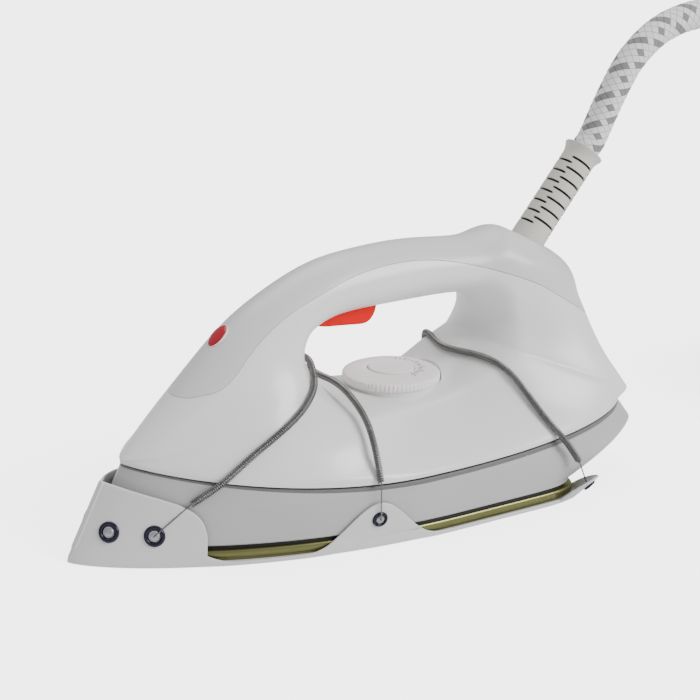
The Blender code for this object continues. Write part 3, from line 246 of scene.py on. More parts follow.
# pale pink: painted highlight on the edge of the indicator lens
paintedRimHighlight = newFinish("paintedRimHighlight", (0.85, 0.7, 0.7), 0.35, spread=0.03)
dialWhite = newFinish("dialWhite", (0.93, 0.9, 0.89), 0.34, spread=0.015, bump=0.05)
printGrey = newFinish("printGrey", (0.12, 0.12, 0.12), 0.55, spread=0.1)
sleeveBeige = newFinish("sleeveBeige", (0.64, 0.62, 0.57), 0.48, spread=0.04, grain=600, bump=0.12)
paleCeramic = newFinish("paleCeramic", (0.8, 0.78, 0.74), 0.4, spread=0.05)
lampGlass = newFinish("lampGlass", (0.9, 0.6, 0.45), 0.12, spread=0.05)
pipeRubber = newFinish("pipeRubber", (0.6, 0.25, 0.18), 0.5, spread=0.06, bump=0.15)
turnedBrass = newFinish("turnedBrass", (0.72, 0.52, 0.24), 0.28, metallic=1.0, spread=0.07,
                        stretch=(1, 0.04, 1), bump=0.12)


def braidFinish():
    # two families of strands cross; some strands are grey where they lie on top, and painted shade darkens
    # the gaps between strands
    made = newFinish("hoseBraid", (0.86, 0.86, 0.87), 0.7, spread=0.04, sheen=0.2, grain=2500, bump=0.3)
    nodes = made.node_tree.nodes
    links = made.node_tree.links
    shader = nodes["Principled BSDF"]

    def sums(kind, first, second=None, third=None):
        step = nodes.new("ShaderNodeMath")
        step.operation = kind
        for socket, value in zip(step.inputs, (first, second, third)):
            if isinstance(value, (int, float)):
                socket.default_value = value
            elif value is not None:
                links.new(value, socket)
        return step.outputs[0]

    place = nodes.new("ShaderNodeUVMap")
    place.uv_map = "braid"
    split = nodes.new("ShaderNodeSeparateXYZ")
    links.new(place.outputs["UV"], split.inputs["Vector"])
    u, v = split.outputs["X"], split.outputs["Y"]
    a = sums("MULTIPLY", sums("ADD", u, v), 8)
    b = sums("MULTIPLY", sums("SUBTRACT", u, v), 8)
    rowA, rowB = sums("FLOOR", a), sums("FLOOR", b)
    over = sums("LESS_THAN", sums("FLOORED_MODULO", sums("ADD", rowA, rowB), 2), 0.5)
    greyA = sums("LESS_THAN", sums("FLOORED_MODULO", rowA, 4), 0.9)
    greyB = sums("LESS_THAN", sums("FLOORED_MODULO", rowB, 4), 0.9)
    under = sums("SUBTRACT", 1, over)
    grey = sums("ADD", sums("MULTIPLY", over, greyA), sums("MULTIPLY", under, greyB))
    # painted shade: the colour falls to 0.35 at each strand's edge, darkening the gaps between strands
    edgeA = sums("PINGPONG", a, 0.5)
    edgeB = sums("PINGPONG", b, 0.5)
    rim = sums("MULTIPLY", sums("MINIMUM", edgeA, edgeB), 8)
    rim = sums("MINIMUM", sums("ADD", rim, 0.35), 1)
    greyStrandsAndGapShade = sums("MULTIPLY", sums("MULTIPLY_ADD", grey, -0.72, 1), rim)
    mix = nodes.new("ShaderNodeMix")
    mix.data_type = "RGBA"
    mix.blend_type = "MULTIPLY"
    mix.inputs["Factor"].default_value = 1.0
    base = shader.inputs["Base Color"].links[0].from_socket
    links.new(base, mix.inputs["A"])
    links.new(greyStrandsAndGapShade, mix.inputs["B"])
    links.new(mix.outputs["Result"], shader.inputs["Base Color"])
    return made


hoseBraid = braidFinish()
print("materials made")

# camera, lights and floor
view = {"azimuth": 31.5, "elevation": 19.0, "distance": 0.8075, "target": (-0.0266, 0.0, 0.057),
        "lens": 87.43, "shift": (0.0614, 0.0637)}


def makeCamera():
    azimuth = radians(view["azimuth"])
    elevation = radians(view["elevation"])
    back = Vector((-sin(azimuth) * cos(elevation), -cos(azimuth) * cos(elevation),
                   sin(elevation)))
    data = bpy.data.cameras.new("camera")
    data.lens = view["lens"]
    data.sensor_width = 36
    data.shift_x, data.shift_y = view["shift"]
    camera = bpy.data.objects.new("camera", data)
    camera.location = Vector(view["target"]) + back * view["distance"]
    camera.rotation_euler = (-back).to_track_quat("-Z", "Y").to_euler()
    bpy.context.scene.collection.objects.link(camera)
    bpy.context.scene.camera = camera


def makeLights():
    world = bpy.data.worlds.new("studio")
    world.use_nodes = True
    world.node_tree.nodes["Background"].inputs["Color"].default_value = (1, 1, 1, 1)
    world.node_tree.nodes["Background"].inputs["Strength"].default_value = 0.55
    bpy.context.scene.world = world
    for name, direction, strength, soft in (("key", (0.65, -0.9, 0.8), 2.9, 30),
                                            ("rim", (0.1, 0.5, 1.0), 1.2, 40)):
        data = bpy.data.lights.new(name, "SUN")
        data.energy = strength
        data.angle = radians(soft)
        lamp = bpy.data.objects.new(name, data)
        lamp.rotation_euler = Vector(direction).to_track_quat("Z", "Y").to_euler()
        bpy.context.scene.collection.objects.link(lamp)


def makeFloor():
    paper = newFinish("paper", (0.9, 0.9, 0.9), 0.9, spread=0.0, bump=0.0, specular=0.0, glow=1.0)
    nodes = paper.node_tree.nodes
    seen = nodes.new("ShaderNodeLightPath")
    bright = nodes.new("ShaderNodeMath")
    bright.operation = "MULTIPLY"
    bright.inputs[1].default_value = 3.5
    paper.node_tree.links.new(seen.outputs["Is Camera Ray"], bright.inputs[0])
    paper.node_tree.links.new(bright.outputs[0], nodes["Principled BSDF"].inputs["Emission Strength"])
    rings = turnedRings([(6.0, -0.01), (6.0, -0.0002)], (0, 0, 0), sides=96)
    floor = loft("floor", rings, paper)


makeCamera()
makeLights()
makeFloor()
print("camera, lights and floor made")

# hose: run, coil and tail
hose = {"diameter": 15.0 * mm, "length": 1.8, "coilAt": (350.0 * mm, -20.0 * mm), "coil": 66.0 * mm,
        "turns": 3.35, "strands": 8, "lay": 31.0 * mm, "weave": 0.3 * mm, "sides": 64, "step": 1.6 * mm,
        "sleeve": (103.0 * mm, 0.0, 116.5 * mm), "rise": 50.5, "sleeveLength": 53.0 * mm}
sleeveOut = np.array((cos(radians(hose["rise"])), 0.0, sin(radians(hose["rise"]))))
sleeveFoot = np.array(hose["sleeve"])
sleeveMouth = sleeveFoot + sleeveOut * hose["sleeveLength"]
hoseRoute = [(154, 0, 186), (166, 0, 202.5), (184, -1, 215.5), (207, -4, 221.5), (230, -8, 218.5),
             (250, -14, 207), (264, -21, 189), (272, -28, 166), (276, -35, 142), (279, -43, 118),
             (284, -52.5, 94), (295, -64, 74)]


def hosePath():
    # out of the sleeve, over and down on to the coil, round its turns to the floor, and off it
    run = [sleeveMouth + sleeveOut * t for t in (-3 * mm, 3 * mm, 8 * mm)]
    run += [np.array(p) * mm for p in hoseRoute]
    d = hose["diameter"]
    x, y = hose["coilAt"]
    turn = 2 * pi * (np.linspace(0, hose["turns"], int(hose["turns"] * 14))[1:] - hose["turns"])
    height = d / 2 + 0.15 * mm + (d + 0.2 * mm) * np.maximum(-turn - 0.5, 0) / (2 * pi)
    coil = np.stack([x + hose["coil"] * np.cos(turn), y + hose["coil"] * np.sin(turn), height], 1)
    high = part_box("hose_tail")[1]
    tail = [(x + hose["coil"], y + part, d / 2 + 0.15 * mm) for part in np.linspace(0.02, high[1] - y, 4)]
    return splineThrough(np.vstack([run, coil, tail]), hose["step"])


def makeHose():
    # two families of strands: A = n u + s/lay, B = n u - s/lay, lifted on each crossing's diamond
    path = hosePath()
    sides = hose["sides"]
    around = np.linspace(0, 2 * pi, sides, endpoint=False)[None]
    run = np.arange(len(path))[:, None] * hose["step"]
    turns = run / hose["lay"]
    a = hose["strands"] * (around / (2 * pi) + turns)
    b = hose["strands"] * (around / (2 * pi) - turns)
    lift = hose["weave"] * (np.abs(np.sin(pi * a) * np.sin(pi * b)) - 0.5)
    tangent, side, other = pathFrames(path)
    spoke = np.cos(around)[..., None] * side[:, None] + np.sin(around)[..., None] * other[:, None]
    points = path[:, None] + (hose["diameter"] / 2 - 0.2 * mm + lift)[..., None] * spoke
    rows = len(path)
    faces = gridQuads(rows, sides)
    faces.append(list(range(sides))[::-1])
    faces.append(list(range((rows - 1) * sides, rows * sides)))
    piece = addPiece("hoseBraid", points, faces, hoseBraid, turnOut=False, angle=60)
    corners = np.zeros(len(piece.data.loops), np.int32)
    piece.data.loops.foreach_get("vertex_index", corners)
    wide = np.zeros(len(corners))
    quads = (rows - 1) * sides
    block = (corners[:quads * 4] % sides).reshape(-1, 4)
    wraps = (block.max(1) - block.min(1) > sides // 2)[:, None] & (block < sides // 2)
    wide[:quads * 4] = wraps.reshape(-1)
    u = corners % sides / sides + wide
    v = corners // sides * hose["step"] / hose["lay"]
    layer = piece.data.uv_layers.new(name="braid")
    layer.data.foreach_set("uv", np.stack([u, v], 1).astype(np.float32).ravel())
    return piece, path


def makeConnector():
    low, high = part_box("hose_ferrule")
    foot = np.array(((low[0] + high[0]) / 2, low[1], (low[2] + high[2]) / 2))
    radius = (high[0] - low[0]) / 2
    long = high[1] - low[1]
    ringed = [(radius * 0.78, 0.0), (radius - 0.5 * mm, 0.0), (radius, 0.6 * mm)]
    for k in range(5):
        at = 2.5 * mm + k * 2.6 * mm
        ringed += [(radius, at), (radius - 0.7 * mm, at + 0.5 * mm), (radius - 0.7 * mm, at + 1.1 * mm),
                   (radius, at + 1.6 * mm)]
    ringed += [(radius, long - 2.4 * mm), (radius - 2.4 * mm, long)]
    ferrule = turned("ferrule", ringed, foot, turnedBrass, (0, 1, 0), 72)
    low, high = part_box("hose_union_nut")
    foot = np.array(((low[0] + high[0]) / 2, low[1], (low[2] + high[2]) / 2))
    nutRings = turnedRings([(8.6 * mm, 0), (9.8 * mm, 0.9 * mm), (9.8 * mm, 8.1 * mm), (8.6 * mm, 9 * mm)],
                           foot, (0, 1, 0), 6)
    nut = loft("unionNut", nutRings, turnedBrass, angle=20)
    bevel = nut.modifiers.new("edges", "BEVEL")
    bevel.width = 0.35 * mm
    bevel.segments = 2
    freeze(nut, 25)
    thread = [(5.0 * mm, 8.8 * mm)]
    for k in range(5):
        thread += [(6.0 * mm, 9.4 * mm + k * 0.9 * mm), (5.4 * mm, 9.85 * mm + k * 0.9 * mm)]
    thread += [(5.0 * mm, 14.0 * mm), (3.4 * mm, 14.0 * mm), (3.4 * mm, 9.2 * mm)]
    stub = turned("threadedStub", thread, foot, turnedBrass, (0, 1, 0), 48)
    seat(ferrule, "iron", "brass", "hose_ferrule")
    seat(nut, "iron", "brass", "hose_union_nut")
    seat(stub, "iron", "brass")
    return [ferrule, nut, stub]


hosePiece, hoseLine = makeHose()
seat(hosePiece, "iron", "braid", "hose_run", "hose_coil", "hose_tail")
connector = makeConnector()
hoseLong = float(np.linalg.norm(np.diff(hoseLine, axis=0), axis=1).sum())
print("hose made, metres:", round(hoseLong, 3))

# outlines shared by the body's lower pieces
body = {"nose": -150 * mm, "heel": 150 * mm, "half": 63 * mm, "soleLength": 249 * mm, "soleHalf": 62.7 * mm,
        "seamNoseX": -125 * mm, "seamRearX": 143.5 * mm, "seamLowX": 10 * mm, "seamNoseZ": 42 * mm,
        "seamLowZ": 31 * mm, "seamRearZ": 40.5 * mm, "skirtRoot": 6.6 * mm, "skirtFoot": 7.6 * mm,
        "skirtCornerZ": 27 * mm, "skirtWall": 2.4 * mm, "shellWall": 2.2 * mm, "around": 420}


def planWidth(x, tip, rear, half, widest, rearPower):
    # half width at x: a pointed bow ahead of the widest place, a superellipse behind it
    x = np.clip(x, tip, rear)
    bow = np.clip((widest - x) / (widest - tip), 0, 1)
    stern = np.clip((x - widest) / (rear - widest), 0, 1)
    return half * (1 - bow ** 2) ** 0.75 * (1 - stern ** rearPower) ** (1 / rearPower)


def planLine(plan, count):
    # closed outline, evenly spaced, from the tip along +Y to the rear and back
    tip, rear, half, widest, rearPower = plan
    turn = np.linspace(0, pi / 2, 1500)
    bow = np.stack([widest - (widest - tip) * np.cos(turn), half * np.sin(turn) ** 1.5], 1)
    back = turn[::-1]
    power = 2 / rearPower
    stern = np.stack([widest + (rear - widest) * np.cos(back) ** power, half * np.sin(back) ** power], 1)
    line = np.vstack([bow, stern[1:]])
    run = np.concatenate([[0], np.cumsum(np.linalg.norm(np.diff(line, axis=0), axis=1))])
    marks = np.linspace(0, run[-1], count // 2 + 1)
    side = np.stack([np.interp(marks, run, line[:, k]) for k in range(2)], 1)
    side[0] = (tip, 0)
    side[-1] = (rear, 0)
    return np.vstack([side, side[-2:0:-1] * (1, -1)])


def beltPlan(inset=0.0):
    return (body["seamNoseX"] + inset, body["seamRearX"] - inset, body["half"] - inset, 0.0, 3.4)


def seamHeight(x):
    # the seam dips from the nose to its lowest place and climbs again to the heel
    front = np.clip((body["seamLowX"] - x) / (body["seamLowX"] - body["seamNoseX"]), 0, None) ** 2
    rear = np.clip((x - body["seamLowX"]) / (body["seamRearX"] - body["seamLowX"]), 0, None) ** 2
    low = body["seamLowZ"]
    return low + (body["seamNoseZ"] - low) * front + (body["seamRearZ"] - low) * rear


def seamDrop(x):
    # the groove under the shell is thin at the nose and widens towards the heel
    return (1.3 + 1.9 * np.clip((x - body["seamNoseX"]) / (120 * mm), 0, 1)) * mm


def skirtPlan(share):
    lean = (body["seamNoseX"] - body["nose"] - 8.5 * mm) / (body["seamNoseZ"] - body["skirtRoot"])
    footRear = body["nose"] + body["soleLength"] - 5 * mm
    rear = footRear + np.maximum(0.0, share - 0.12) / 0.88 * (body["heel"] - footRear)
    half = body["soleHalf"] - 1.2 * mm + share * (body["half"] - body["soleHalf"] + 1.2 * mm)
    tip = body["nose"] + 8.5 * mm + lean * share * (body["skirtCornerZ"] - body["skirtRoot"])
    widest = share * 5 * mm + (1 - share) * 20 * mm
    return (tip, rear, half, widest, 9.0 - 5.4 * share)


def ringAt(plan, height, count):
    line = planLine(plan, count)
    z = height(line[:, 0]) if callable(height) else np.full(len(line), float(height))
    return np.column_stack([line, z])


# shell and cover: sections carried round the handle's opening
# inner point (x, z), outer point (x, z) on the outline or x on the seam, four half widths, two roundings
outlineSections = [
    ((-28.5, 71.3), (-125.0, 44.0), (16, 33, 23.5, 7), 0.14, 0.12),
    ((-31.0, 77.0), (-114.8, 54.6), (15.5, 28, 20, 8), 0.15, 0.14),
    ((-31.8, 82.3), (-99.8, 68.6), (15, 23.5, 19.5, 13), 0.2, 0.25),
    ((-29.6, 88.3), (-81.0, 87.6), (15, 19.5, 18, 14), 0.27, 0.38),
    ((-24.8, 92.5), (-60.0, 104.2), (15, 17.5, 17, 15), 0.36, 0.5),
    ((-13.4, 95.2), (-29.8, 118.9), (15, 17, 17, 16), 0.45, 0.55),
    ((1.9, 96.2), (-5.7, 124.2), (15, 17, 17, 16), 0.45, 0.55),
    ((20.9, 96.5), (19.7, 125.8), (15, 17, 17, 16), 0.45, 0.55),
    ((39.9, 96.7), (42.9, 124.8), (15, 17, 17.5, 16), 0.45, 0.55),
    ((54.0, 96.4), (65.5, 123.6), (16, 18, 18, 17), 0.45, 0.5),
    ((61.3, 94.8), (80.5, 126.2), (17, 20, 19.5, 17), 0.42, 0.42),
    ((63.9, 93.3), (90.5, 122.8), (17.5, 22, 21, 18.5), 0.37, 0.38),
    ((66.0, 91.6), (103.0, 117.0), (18, 24, 23, 20), 0.32, 0.34),
    ((67.8, 87.6), (121.4, 105.2), (19, 26, 25, 20), 0.22, 0.28),
    ((68.2, 85.5), (126.2, 93.5), (19.5, 27.5, 28, 22.5), 0.21, 0.28),
    ((68.4, 83.0), (130.0, 82.0), (20, 29, 31, 25), 0.2, 0.28),
    ((67.5, 79.0), (136.5, 61.0), (22, 33, 38, 34), 0.18, 0.24),
    ((65.5, 74.0), (143.5, 42.5), (24, 38, 46, 46), 0.16, 0.16),
]
seamSections = [
    ((60.5, 70.0), 128.0, (25, 40, 49, 50), 0.16, 0.12),
    ((52.0, 65.2), 95.0, (26, 38, 51, 59), 0.16, 0.1),
    ((40.5, 58.5), 58.0, (27, 34, 51, 62), 0.16, 0.1),
    ((25.7, 55.4), 25.0, (28, 34, 51, 63), 0.16, 0.1),
    ((6.7, 55.2), -8.0, (29, 37, 53, 63), 0.16, 0.1),
    ((-10.0, 57.2), -42.0, (31, 47, 55, 60), 0.16, 0.1),
    ((-20.5, 61.0), -75.0, (27, 44, 48, 46), 0.16, 0.1),
    ((-25.5, 65.5), -105.0, (20, 37, 35.5, 25.5), 0.15, 0.1),
    ((-27.4, 68.6), -118.0, (17.5, 34.5, 28.5, 12), 0.14, 0.1),
]
shell = {"perSection": 12, "across": 40, "lip": 2.0 * mm, "relax": 26,
         "triggerSlot": ((-24 * mm, -7.1 * mm, 88 * mm), (10.6 * mm, 7.1 * mm, 103 * mm))}


def splineRows(rows, places, cyclic):
    # interpolating cubic B-spline: control rows from a linear system, then the usual cubic blend
    n = len(rows)
    system = np.eye(n) * 4 / 6 + np.eye(n, k=1) / 6 + np.eye(n, k=-1) / 6
    if cyclic:
        system[0, -1] = system[-1, 0] = 1 / 6
    else:
        system[0] = system[-1] = 0
        system[0, 0] = system[-1, -1] = 1
    control = np.linalg.solve(system, rows)
    if not cyclic:
        control = np.vstack([2 * control[0] - control[1], control, 2 * control[-1] - control[-2]])
        places = places + 1
        n += 2
    low = np.floor(places).astype(int)
    t = (places - low)[:, None]
    a, b, c, d = (control[(low + k) % n] for k in (-1, 0, 1, 2))
    return ((1 - t) ** 3 * a + (3 * t ** 3 - 6 * t ** 2 + 4) * b
            + (-3 * t ** 3 + 3 * t ** 2 + 3 * t + 1) * c + t ** 3 * d) / 6


def shellGrid():
    # point(s, side) = inner + (outer - inner) s, at the half width: a cubic through the four widths
    # times a rounding at both ends; sections follow one another round the opening
    table = np.array([(*s[0], *s[2], s[3], s[4]) for s in outlineSections + seamSections], float)
    table[:, :6] *= mm
    count = len(table)
    last = len(outlineSections) - 1
    places = np.arange(count * shell["perSection"]) / shell["perSection"]
    values = splineRows(table, places, True)
    for _ in range(shell["relax"]):
        values = (np.roll(values, 1, 0) + 2 * values + np.roll(values, -1, 0)) / 4
    outline = splineRows(np.array([s[1] for s in outlineSections], float) * mm,
                         np.clip(places, 0, last), False)
    xs = [outlineSections[-1][1][0]] + [s[1] for s in seamSections] + [outlineSections[0][1][0]]
    along = splineRows(np.array(xs, float)[:, None] * mm, np.clip(places - last, 0, len(xs) - 1), False)
    along = np.clip(along[:, 0], body["seamNoseX"], body["seamRearX"])
    onSeam = (places >= last) | (places == 0)
    onLip = np.stack([along, seamHeight(along) + shell["lip"]], 1)
    outer = np.where((places > last)[:, None], onLip, outline)
    widths = values[:, 2:6].copy()
    end = planWidth(outer[:, 0], *beltPlan())
    widths[:, 3] = np.where(onSeam, np.maximum(widths[:, 3], end), widths[:, 3])
    endShare = np.where(onSeam, end / widths[:, 3], 0.0)[:, None]
    s = 0.5 * (1 - np.cos(np.linspace(0, pi, shell["across"] + 1)))[None]
    knots = np.array([0.0, 0.35, 0.7, 1.0])
    halves = 0
    for k, knot in enumerate(knots):
        others = np.delete(knots, k)
        halves = halves + widths[:, k:k + 1] * np.prod([(s - o) / (knot - o) for o in others], axis=0)
    roundIn = 1 - np.clip(s / values[:, 6:7], 0, 1)
    roundOut = 1 - np.clip((1 - s) / values[:, 7:8], 0, 1)
    halves = halves * np.sqrt(1 - roundIn ** 2) * np.sqrt(1 - (1 - endShare ** 2) * roundOut ** 2)
    line = values[:, None, :2] + (outer - values[:, :2])[:, None] * s[..., None]
    side = np.stack([line[..., 0], halves, line[..., 1]], -1)
    return np.concatenate([side[:, ::-1] * (1, -1, 1), side[:, 1:]], 1), np.where(onSeam)[0]


def skinMesh():
    # the grid, plus an upright lip that follows the seam, as one open sheet facing outwards
    grid, onSeam = shellGrid()
    rows, cols = grid.shape[:2]
    order = np.concatenate([onSeam[onSeam > 0], onSeam[onSeam == 0]])
    lip = grid[order][:, [0, -1]].copy()
    lip[..., 2] = seamHeight(lip[..., 0]) + 0.15 * mm
    faces = gridQuads(rows, cols, True, False)
    base = rows * cols
    for n in range(len(order) - 1):
        here, there = int(order[n]), int(order[n + 1])
        for side, col in ((0, 0), (1, cols - 1)):
            quad = (here * cols + col, there * cols + col, base + 2 * n + 2 + side, base + 2 * n + side)
            faces.append(quad if side else quad[::-1])
    return openSheet("skin", np.vstack([grid.reshape(-1, 3), lip.reshape(-1, 3)]), faces, 2e-6)


def openSheet(name, points, faces, merge=0.0):
    # a mesh without thickness, its faces turned outwards
    mesh = bpy.data.meshes.new(name)
    mesh.from_pydata(points.reshape(-1, 3).tolist(), [], faces)
    sheet = bmesh.new()
    sheet.from_mesh(mesh)
    if merge:
        bmesh.ops.remove_doubles(sheet, verts=sheet.verts, dist=merge)
    bmesh.ops.recalc_face_normals(sheet, faces=sheet.faces)
    sheet.normal_update()
    widest = max(sheet.faces, key=lambda face: face.calc_center_median().y)
    if widest.normal.y < 0:
        bmesh.ops.reverse_faces(sheet, faces=sheet.faces)
        sheet.normal_update()
    sheet.to_mesh(mesh)
    sheet.free()
    return mesh


def walled(name, mesh, wall, finish):
    piece = bpy.data.objects.new(name, mesh)
    bpy.context.scene.collection.objects.link(piece)
    mesh.materials.append(finish)
    step = piece.modifiers.new("wall", "SOLIDIFY")
    step.thickness = wall
    step.offset = -1
    step.use_even_offset = False
    step.use_quality_normals = True
    return piece


def treeOf(mesh):
    sheet = bmesh.new()
    sheet.from_mesh(mesh)
    sheet.normal_update()
    tree = BVHTree.FromBMesh(sheet)
    sheet.free()
    return tree


coverLine = [(-135, 71), (-100, 70), (-91, 71.5), (-82, 74.5), (-75, 80), (-67, 88), (-57, 96.2),
             (-44, 103.9), (-28, 110.4), (-11, 115.8), (8, 118.6), (28, 118.6), (48, 115.3), (70, 108.8),
             (90, 100.9), (103, 93), (113, 86.7), (124, 81.8), (160, 80.5)]


def aboveLine(drop):
    # everything above the parting line of cover and shell, as a slab along Y
    smooth = splineThrough([(x * mm, 0, z * mm - drop) for x, z in coverLine], 1.5 * mm)
    outline = np.vstack([smooth[:, [0, 2]], [(0.16, 0.16), (-0.135, 0.16)]])
    rings = [np.stack([outline[:, 0], np.full(len(outline), y), outline[:, 1]], 1) for y in (-0.09, 0.09)]
    return loft("aboveLine", rings)


def boxCutter(low, high):
    (x0, y0, z0), (x1, y1, z1) = low, high
    base = np.array([(x0, y0), (x1, y0), (x1, y1), (x0, y1)])
    return loft("boxCutter", [np.column_stack([base, np.full(4, z)]) for z in (z0, z1)])


skin = skinMesh()
skinTree = treeOf(skin)

# the shell is cut to fit the dial and the lens, so their sizes stand here
dial = {"x": 21.5 * mm, "z": 57.8 * mm, "radius": 24 * mm, "height": 4.9 * mm, "drop": 0.6 * mm,
        "cap": 11.4 * mm, "ribs": 72}
lens = {"long": 5.9 * mm, "wide": 4.4 * mm, "slope": 44.0, "near": (-74.5 * mm, 0.0, 94.0 * mm)}
lensAlong = Vector((cos(radians(lens["slope"])), 0, sin(radians(lens["slope"]))))
lensOut = Vector((-lensAlong.z, 0, lensAlong.x))
lensFoot = skinTree.ray_cast(Vector(lens["near"]) + lensOut * 0.03, -lensOut)[0]


def ovalRings(profile, sides=64):
    # an oval profile of (share of the oval, height) standing square to the handle's slope
    turn = np.linspace(0, 2 * pi, sides, endpoint=False)
    rings = []
    for share, high, spare in profile:
        rings.append(np.array(lensFoot) + np.outer((lens["long"] * share + spare) * np.cos(turn), lensAlong)
                     + np.outer((lens["wide"] * share + spare) * np.sin(turn), (0, 1, 0))
                     + np.array(lensOut) * high)
    return rings


def makeShellAndCover():
    shellPiece = walled("mainShell", skin.copy(), body["shellWall"], shellWhite)
    cover = walled("handleCover", skin.copy(), body["shellWall"], coverGrey)
    cutWith(cover, [loft("lensCut", ovalRings([(1, -9 * mm, 0.65 * mm), (1, 6 * mm, 0.65 * mm)]))])
    cutWith(cover, [aboveLine(0.0)], keep=True)
    cutWith(cover, [loft("sleeveCut", turnedRings([(9.2 * mm, -30 * mm), (9.2 * mm, 30 * mm)], sleeveFoot,
                                                  sleeveOut, 64))])
    cutWith(shellPiece, [aboveLine(0.22 * mm)])
    cutWith(shellPiece, [boxCutter(*shell["triggerSlot"])])
    dialSpot = (dial["x"], 0, 0)
    cutWith(shellPiece, [loft("spindleCut", turnedRings([(4 * mm, 40 * mm), (4 * mm, 70 * mm)], dialSpot))])
    pocket = turnedRings([(dial["radius"] + 0.6 * mm, dial["z"] - 0.3 * mm - dial["drop"]),
                          (dial["radius"] + 0.6 * mm, dial["z"] + 20 * mm)], dialSpot, sides=96)
    cutWith(shellPiece, [loft("pocketCut", pocket)])
    seat(shellPiece, "iron", "shell_plastic", "main_shell")
    seat(cover, "iron", "cover_plastic", "handle_cover")


makeShellAndCover()
print("shell and cover made")


# skirt, seam groove, gasket and sole
def skirtGrid():
    # plan outlines stacked from a rounded foot to the groove under the shell
    foot, corner, count = body["skirtFoot"], body["skirtCornerZ"], body["around"]
    rings = []
    for share in np.concatenate([[0.03, 0.06], np.linspace(0.09, 1, 22)]):
        rings.append(ringAt(skirtPlan(share), foot + share * (corner - foot), count))
    belt = planLine(beltPlan(), count)
    top = seamHeight(belt[:, 0]) - seamDrop(belt[:, 0])
    under = rings[-1]
    for part in np.linspace(0, 1, 14)[1:]:
        rings.append(np.column_stack([under[:, :2] * (1 - part) + belt * part,
                                      under[:, 2] * (1 - part) + (top - 0.5 * mm) * part]))
    for inset, lower in ((0.12, 0.2), (0.5, 0.0)):
        rings.append(np.column_stack([planLine(beltPlan(inset * mm), count), top - lower * mm]))
    rings[0] = np.column_stack([planLine(beltOffset(skirtPlan(0.03), 0.5 * mm), count), rings[0][:, 2]])
    return np.array(rings)


def beltOffset(plan, inset):
    tip, rear, half, widest, power = plan
    return (tip + inset, rear - inset, half - inset, widest, power)


skirtRings = skirtGrid()
skirtSheet = openSheet("skirtSheet", skirtRings, gridQuads(*skirtRings.shape[:2]))
skirtTree = treeOf(skirtSheet)


def beltRings(stations):
    # rings inside the seam, each from its inset in mm and its share of the groove's depth
    rings = []
    for inset, share in stations:
        line = planLine(beltPlan(inset * mm), body["around"])
        top = seamHeight(line[:, 0]) + 0.1 * mm
        rings.append(np.column_stack([line, top - share * seamDrop(line[:, 0])]))
    return rings


def makeLowerBody():
    skirt = walled("skirt", skirtSheet.copy(), body["skirtWall"], skirtGrey)
    freeze(skirt)
    seat(skirt, "iron", "skirt_plastic", "skirt")
    # the groove's upper strip is near black as painted shadow under the shell's lip; the grey band below is
    # the trim's own colour
    groove = loft("seamLipShadow", beltRings([(3.6, 0.0), (1.4, 0.0), (1.4, 0.42), (3.6, 0.42)]), lipShadowAndSwitchBlack,
                  closed=True)
    seat(groove, "iron", "trim_plastic", "seam_trim")
    band = loft("seamBand", beltRings([(3.2, 0.4), (0.7, 0.4), (0.4, 0.5), (0.3, 0.98), (3.2, 0.98)]),
                seamGrey, closed=True)
    seat(band, "iron", "trim_plastic")
    outer = (body["nose"] + 11 * mm, body["nose"] + body["soleLength"] - 7 * mm, body["soleHalf"] - 2.6 * mm,
             20 * mm, 9.0)
    inner = beltOffset(outer, 8 * mm)
    corners = ((outer, 6.2 * mm), (outer, 8.4 * mm), (inner, 8.4 * mm), (inner, 6.2 * mm))
    gasket = loft("soleGasket", [ringAt(plan, high, body["around"]) for plan, high in corners], gasketAndSlotShadeBlack,
                  closed=True)
    seat(gasket, "iron", "gasket", "sole_gasket")


shoe = {"wall": 1.2 * mm, "lean": 0.52, "toe": 3.5 * mm, "noseHeight": 33 * mm, "noseRun": 47 * mm,
        "tabX": -25 * mm, "tabHeight": 21 * mm, "tabHalf": 37 * mm, "rearHeight": 11 * mm,
        "rearHalf": 12 * mm, "rearRise": 44.0, "rearTurn": 60.0, "count": 900}


def solePlan(inset=0.0, lift=0.0):
    return (body["nose"] - shoe["toe"] + inset + 0.42 * lift, body["nose"] + body["soleLength"] - inset,
            body["soleHalf"] - inset, body["nose"] + 0.685 * body["soleLength"], 9.0)


def makeSoleplate():
    # edge profile: a full round of the plate's own thickness
    rings = []
    low, high = 1.25 * mm, 6.1 * mm
    for a in np.linspace(-pi / 2, pi / 2, 13):
        draw = 1.3 * mm * (1 - cos(a) ** 0.8)
        z = (low + high) / 2 + (high - low) / 2 * sin(a)
        rings.append(ringAt(solePlan(1.5 * mm + draw, 15 * mm), z, 480))
    plate = loft("soleplate", rings, soleBronze)
    seat(plate, "iron", "sole_metal", "soleplate")


makeLowerBody()
makeSoleplate()
print("skirt, groove and sole made")

# shoe
def outlineNormals(line):
    tangent = np.roll(line, -1, axis=0) - np.roll(line, 1, axis=0)
    normal = np.column_stack([-tangent[:, 1], tangent[:, 0]])
    normal /= np.linalg.norm(normal, axis=1)[:, None]
    return normal * (1 if normal[len(line) // 2, 0] > 0 else -1)


def noseWallHeight(x):
    # slopes gently back from the tip, then rounds down to the floor
    run = (x - body["nose"]) / shoe["noseRun"]
    wall = shoe["noseHeight"] * (1 - 0.3 * run) * np.clip(1 - np.clip(run, 0, 1) ** 6, 0, 1) ** 0.35
    return np.maximum(wall, 6 * mm * np.clip(1 - (run - 0.9) / 0.4, 0, 1) ** 2 * (run > 0.9))


def midTabHeight(x):
    # a bell at the middle of each side
    u = np.clip((x - shoe["tabX"]) / shoe["tabHalf"], -1, 1)
    return shoe["tabHeight"] * np.clip(np.cos(u * pi / 2), 0, 1) ** 3


